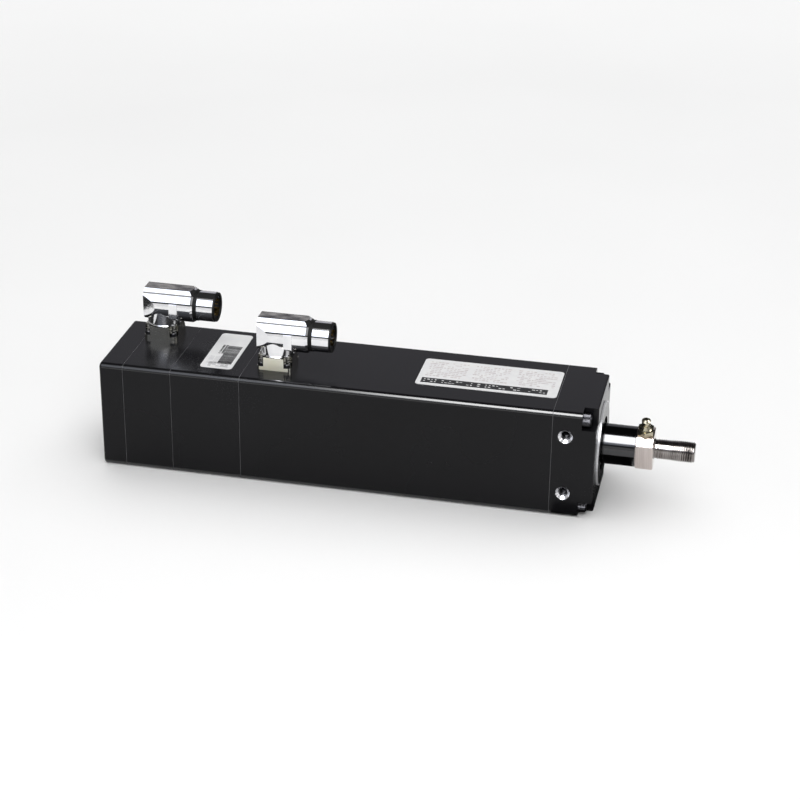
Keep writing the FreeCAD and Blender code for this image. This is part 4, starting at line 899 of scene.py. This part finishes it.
# where each card stands, its size and its glow: the bright ones mirror as light, the dark ones as shade
cards = {
    "softWide": {
        "place": (-0.35, -0.88, 0.88), "size": (1.5, 1.02), "glow": 2.4, "tint": (0.86, 0.90, 1.0)},
    "softFront": {"place": (-0.15, -0.65, 0.925), "size": (0.60, 0.89), "glow": 18.0},
    "softRight": {"place": (1.0, -0.1, 0.55), "size": (0.7, 0.5), "glow": 9.0},
    "farGlow": {
        "place": (-0.6, 2.6, 1.2), "size": (5.0, 1.6), "glow": 0.5, "tint": (0.93, 0.92, 1.0),
        "lies": "wall"},
    "frontDark": {"place": (-0.1, -1.24, 0.385), "size": (3.4, 0.21), "glow": 0.02, "lies": "wall"},
    "frontPale": {"place": (-0.1, -1.30, 0.13), "size": (3.4, 0.34), "glow": 0.9, "lies": "wall"},
    "leftDark": {"place": (-0.98, -0.05, -0.0408), "size": (0.86, 1.2), "glow": 0.14, "lies": "floor"},
    "overDark": {"place": (-0.1, 1.05, 1.6), "size": (4.4, 2.6), "glow": 0.03, "lies": "floor"},
    "rearDark": {"place": (-0.47, 0.56, -0.0406), "size": (0.9, 1.0), "glow": 0.05, "lies": "floor"},
    "rodDark": {"place": (-0.004, 0.012, -0.0404), "size": (0.052, 0.145), "glow": 0.02, "lies": "floor"},
    "backDark": {"place": (0.95, 1.1, 0.2), "size": (1.7, 0.5), "glow": 0.03, "lies": "wall"},
}


def aimed(name, data, place):
    item = bpy.data.objects.new(name, data)
    bpy.context.scene.collection.objects.link(item)
    item.location = place
    way = Vector(room["aim"]) - Vector(place)
    item.rotation_euler = way.to_track_quat("-Z", "Y").to_euler()
    return item


def rectangle(name, wide, high):
    x = wide / 2
    y = high / 2
    mesh = bpy.data.meshes.new(name)
    mesh.from_pydata([(-x, -y, 0), (x, -y, 0), (x, y, 0), (-x, y, 0)], [], [(0, 1, 2, 3)])
    return mesh


def makeFloor():
    mesh = rectangle("floor", room["floorSize"], room["floorSize"])
    floor = bpy.data.objects.new("floor", mesh)
    bpy.context.scene.collection.objects.link(floor)
    floor.location.z = room["floor"]
    finish = Finish("paleFloor", {
        "Specular IOR Level": room["floorSpecular"], "Roughness": room["floorRough"],
        "Emission Strength": 1.0})
    # the lamps don't reach far out, so there the floor glows a little
    x, y = finish.place()[:2]
    far = finish.add("ShaderNodeMapRange", inputs={
        "Value": (x * x + y * y).root(), "From Min": room["farFrom"], "From Max": room["farTo"]})
    finish.set("Emission Color", finish.mix(far.outputs[0], (0.0, 0.0, 0.0), room["farTone"]))
    cloud = finish.noise(room["floorScale"])
    finish.set("Base Color", finish.tones(cloud, room["floorGrey"], room["floorPale"]))
    mesh.materials.append(finish.material)
    return floor


def makeLamp(name, row):
    data = bpy.data.lights.new(name, "AREA")
    data.shape = "RECTANGLE"
    data.size, data.size_y = row["size"]
    data.energy = row["power"]
    lamp = aimed(name, data, row["place"])
    lamp.visible_glossy = False
    return lamp


def makeCard(name, row):
    mesh = rectangle(name, *row["size"])
    finish = Finish(name, {
        "Base Color": (0.0, 0.0, 0.0, 1.0), "Specular IOR Level": 0.0, "Emission Strength": row["glow"]})
    # fades toward its left and right ends
    out = abs(finish.place()[0]) * (2 / row["size"][0])
    tint = row.get("tint", room["cardTint"])
    finish.set("Emission Color", finish.mix(1 - out * out * out, room["cardEnd"], tint))
    mesh.materials.append(finish.material)
    card = aimed(name, mesh, row["place"])
    if "lies" in row:
        card.rotation_euler = (math.pi / 2 if row["lies"] == "wall" else 0.0, 0.0, 0.0)
    card.visible_camera = False
    card.visible_diffuse = False
    card.visible_shadow = False
    return card


def makeRoom():
    scene = bpy.context.scene
    scene.view_settings.view_transform = "Standard"
    world = bpy.data.worlds.new("room")
    world.use_nodes = True
    background = world.node_tree.nodes["Background"]
    background.inputs["Color"].default_value = (1.0, 1.0, 1.0, 1.0)
    background.inputs["Strength"].default_value = room["world"]
    scene.world = world
    pieces = [makeFloor()]
    pieces += [makeLamp(name, row) for name, row in lights.items()]
    pieces += [makeCard(name, row) for name, row in cards.items()]


makeRoom()
print("room made")


# the camera stands where the photograph was taken from

cameraRow = {
    "place": (0.138633, -1.367135, 0.703643),
    "azimuth": 12.028,
    "pitch": 26.149,
    "roll": 0.736,
    "lens": 93.571,
    "sensor": 36.0,
    "far": 50.0,
}


def makeCamera():
    row = cameraRow
    turn = math.radians(row["azimuth"])
    dip = math.radians(row["pitch"])
    roll = math.radians(row["roll"])
    ahead = Vector((-math.sin(turn) * math.cos(dip), math.cos(turn) * math.cos(dip), -math.sin(dip)))
    right = Vector((math.cos(turn), math.sin(turn), 0.0))
    up = right.cross(ahead)
    across = right * math.cos(roll) + up * math.sin(roll)
    above = up * math.cos(roll) - right * math.sin(roll)
    data = bpy.data.cameras.new("camera")
    data.lens = row["lens"]
    data.sensor_width = row["sensor"]
    data.clip_end = row["far"]
    camera = bpy.data.objects.new("camera", data)
    bpy.context.scene.collection.objects.link(camera)
    frameTurn = Matrix((across, above, -ahead)).transposed()
    camera.matrix_world = Matrix.Translation(row["place"]) @ frameTurn.to_4x4()
    bpy.context.scene.camera = camera


makeCamera()
print("camera set")
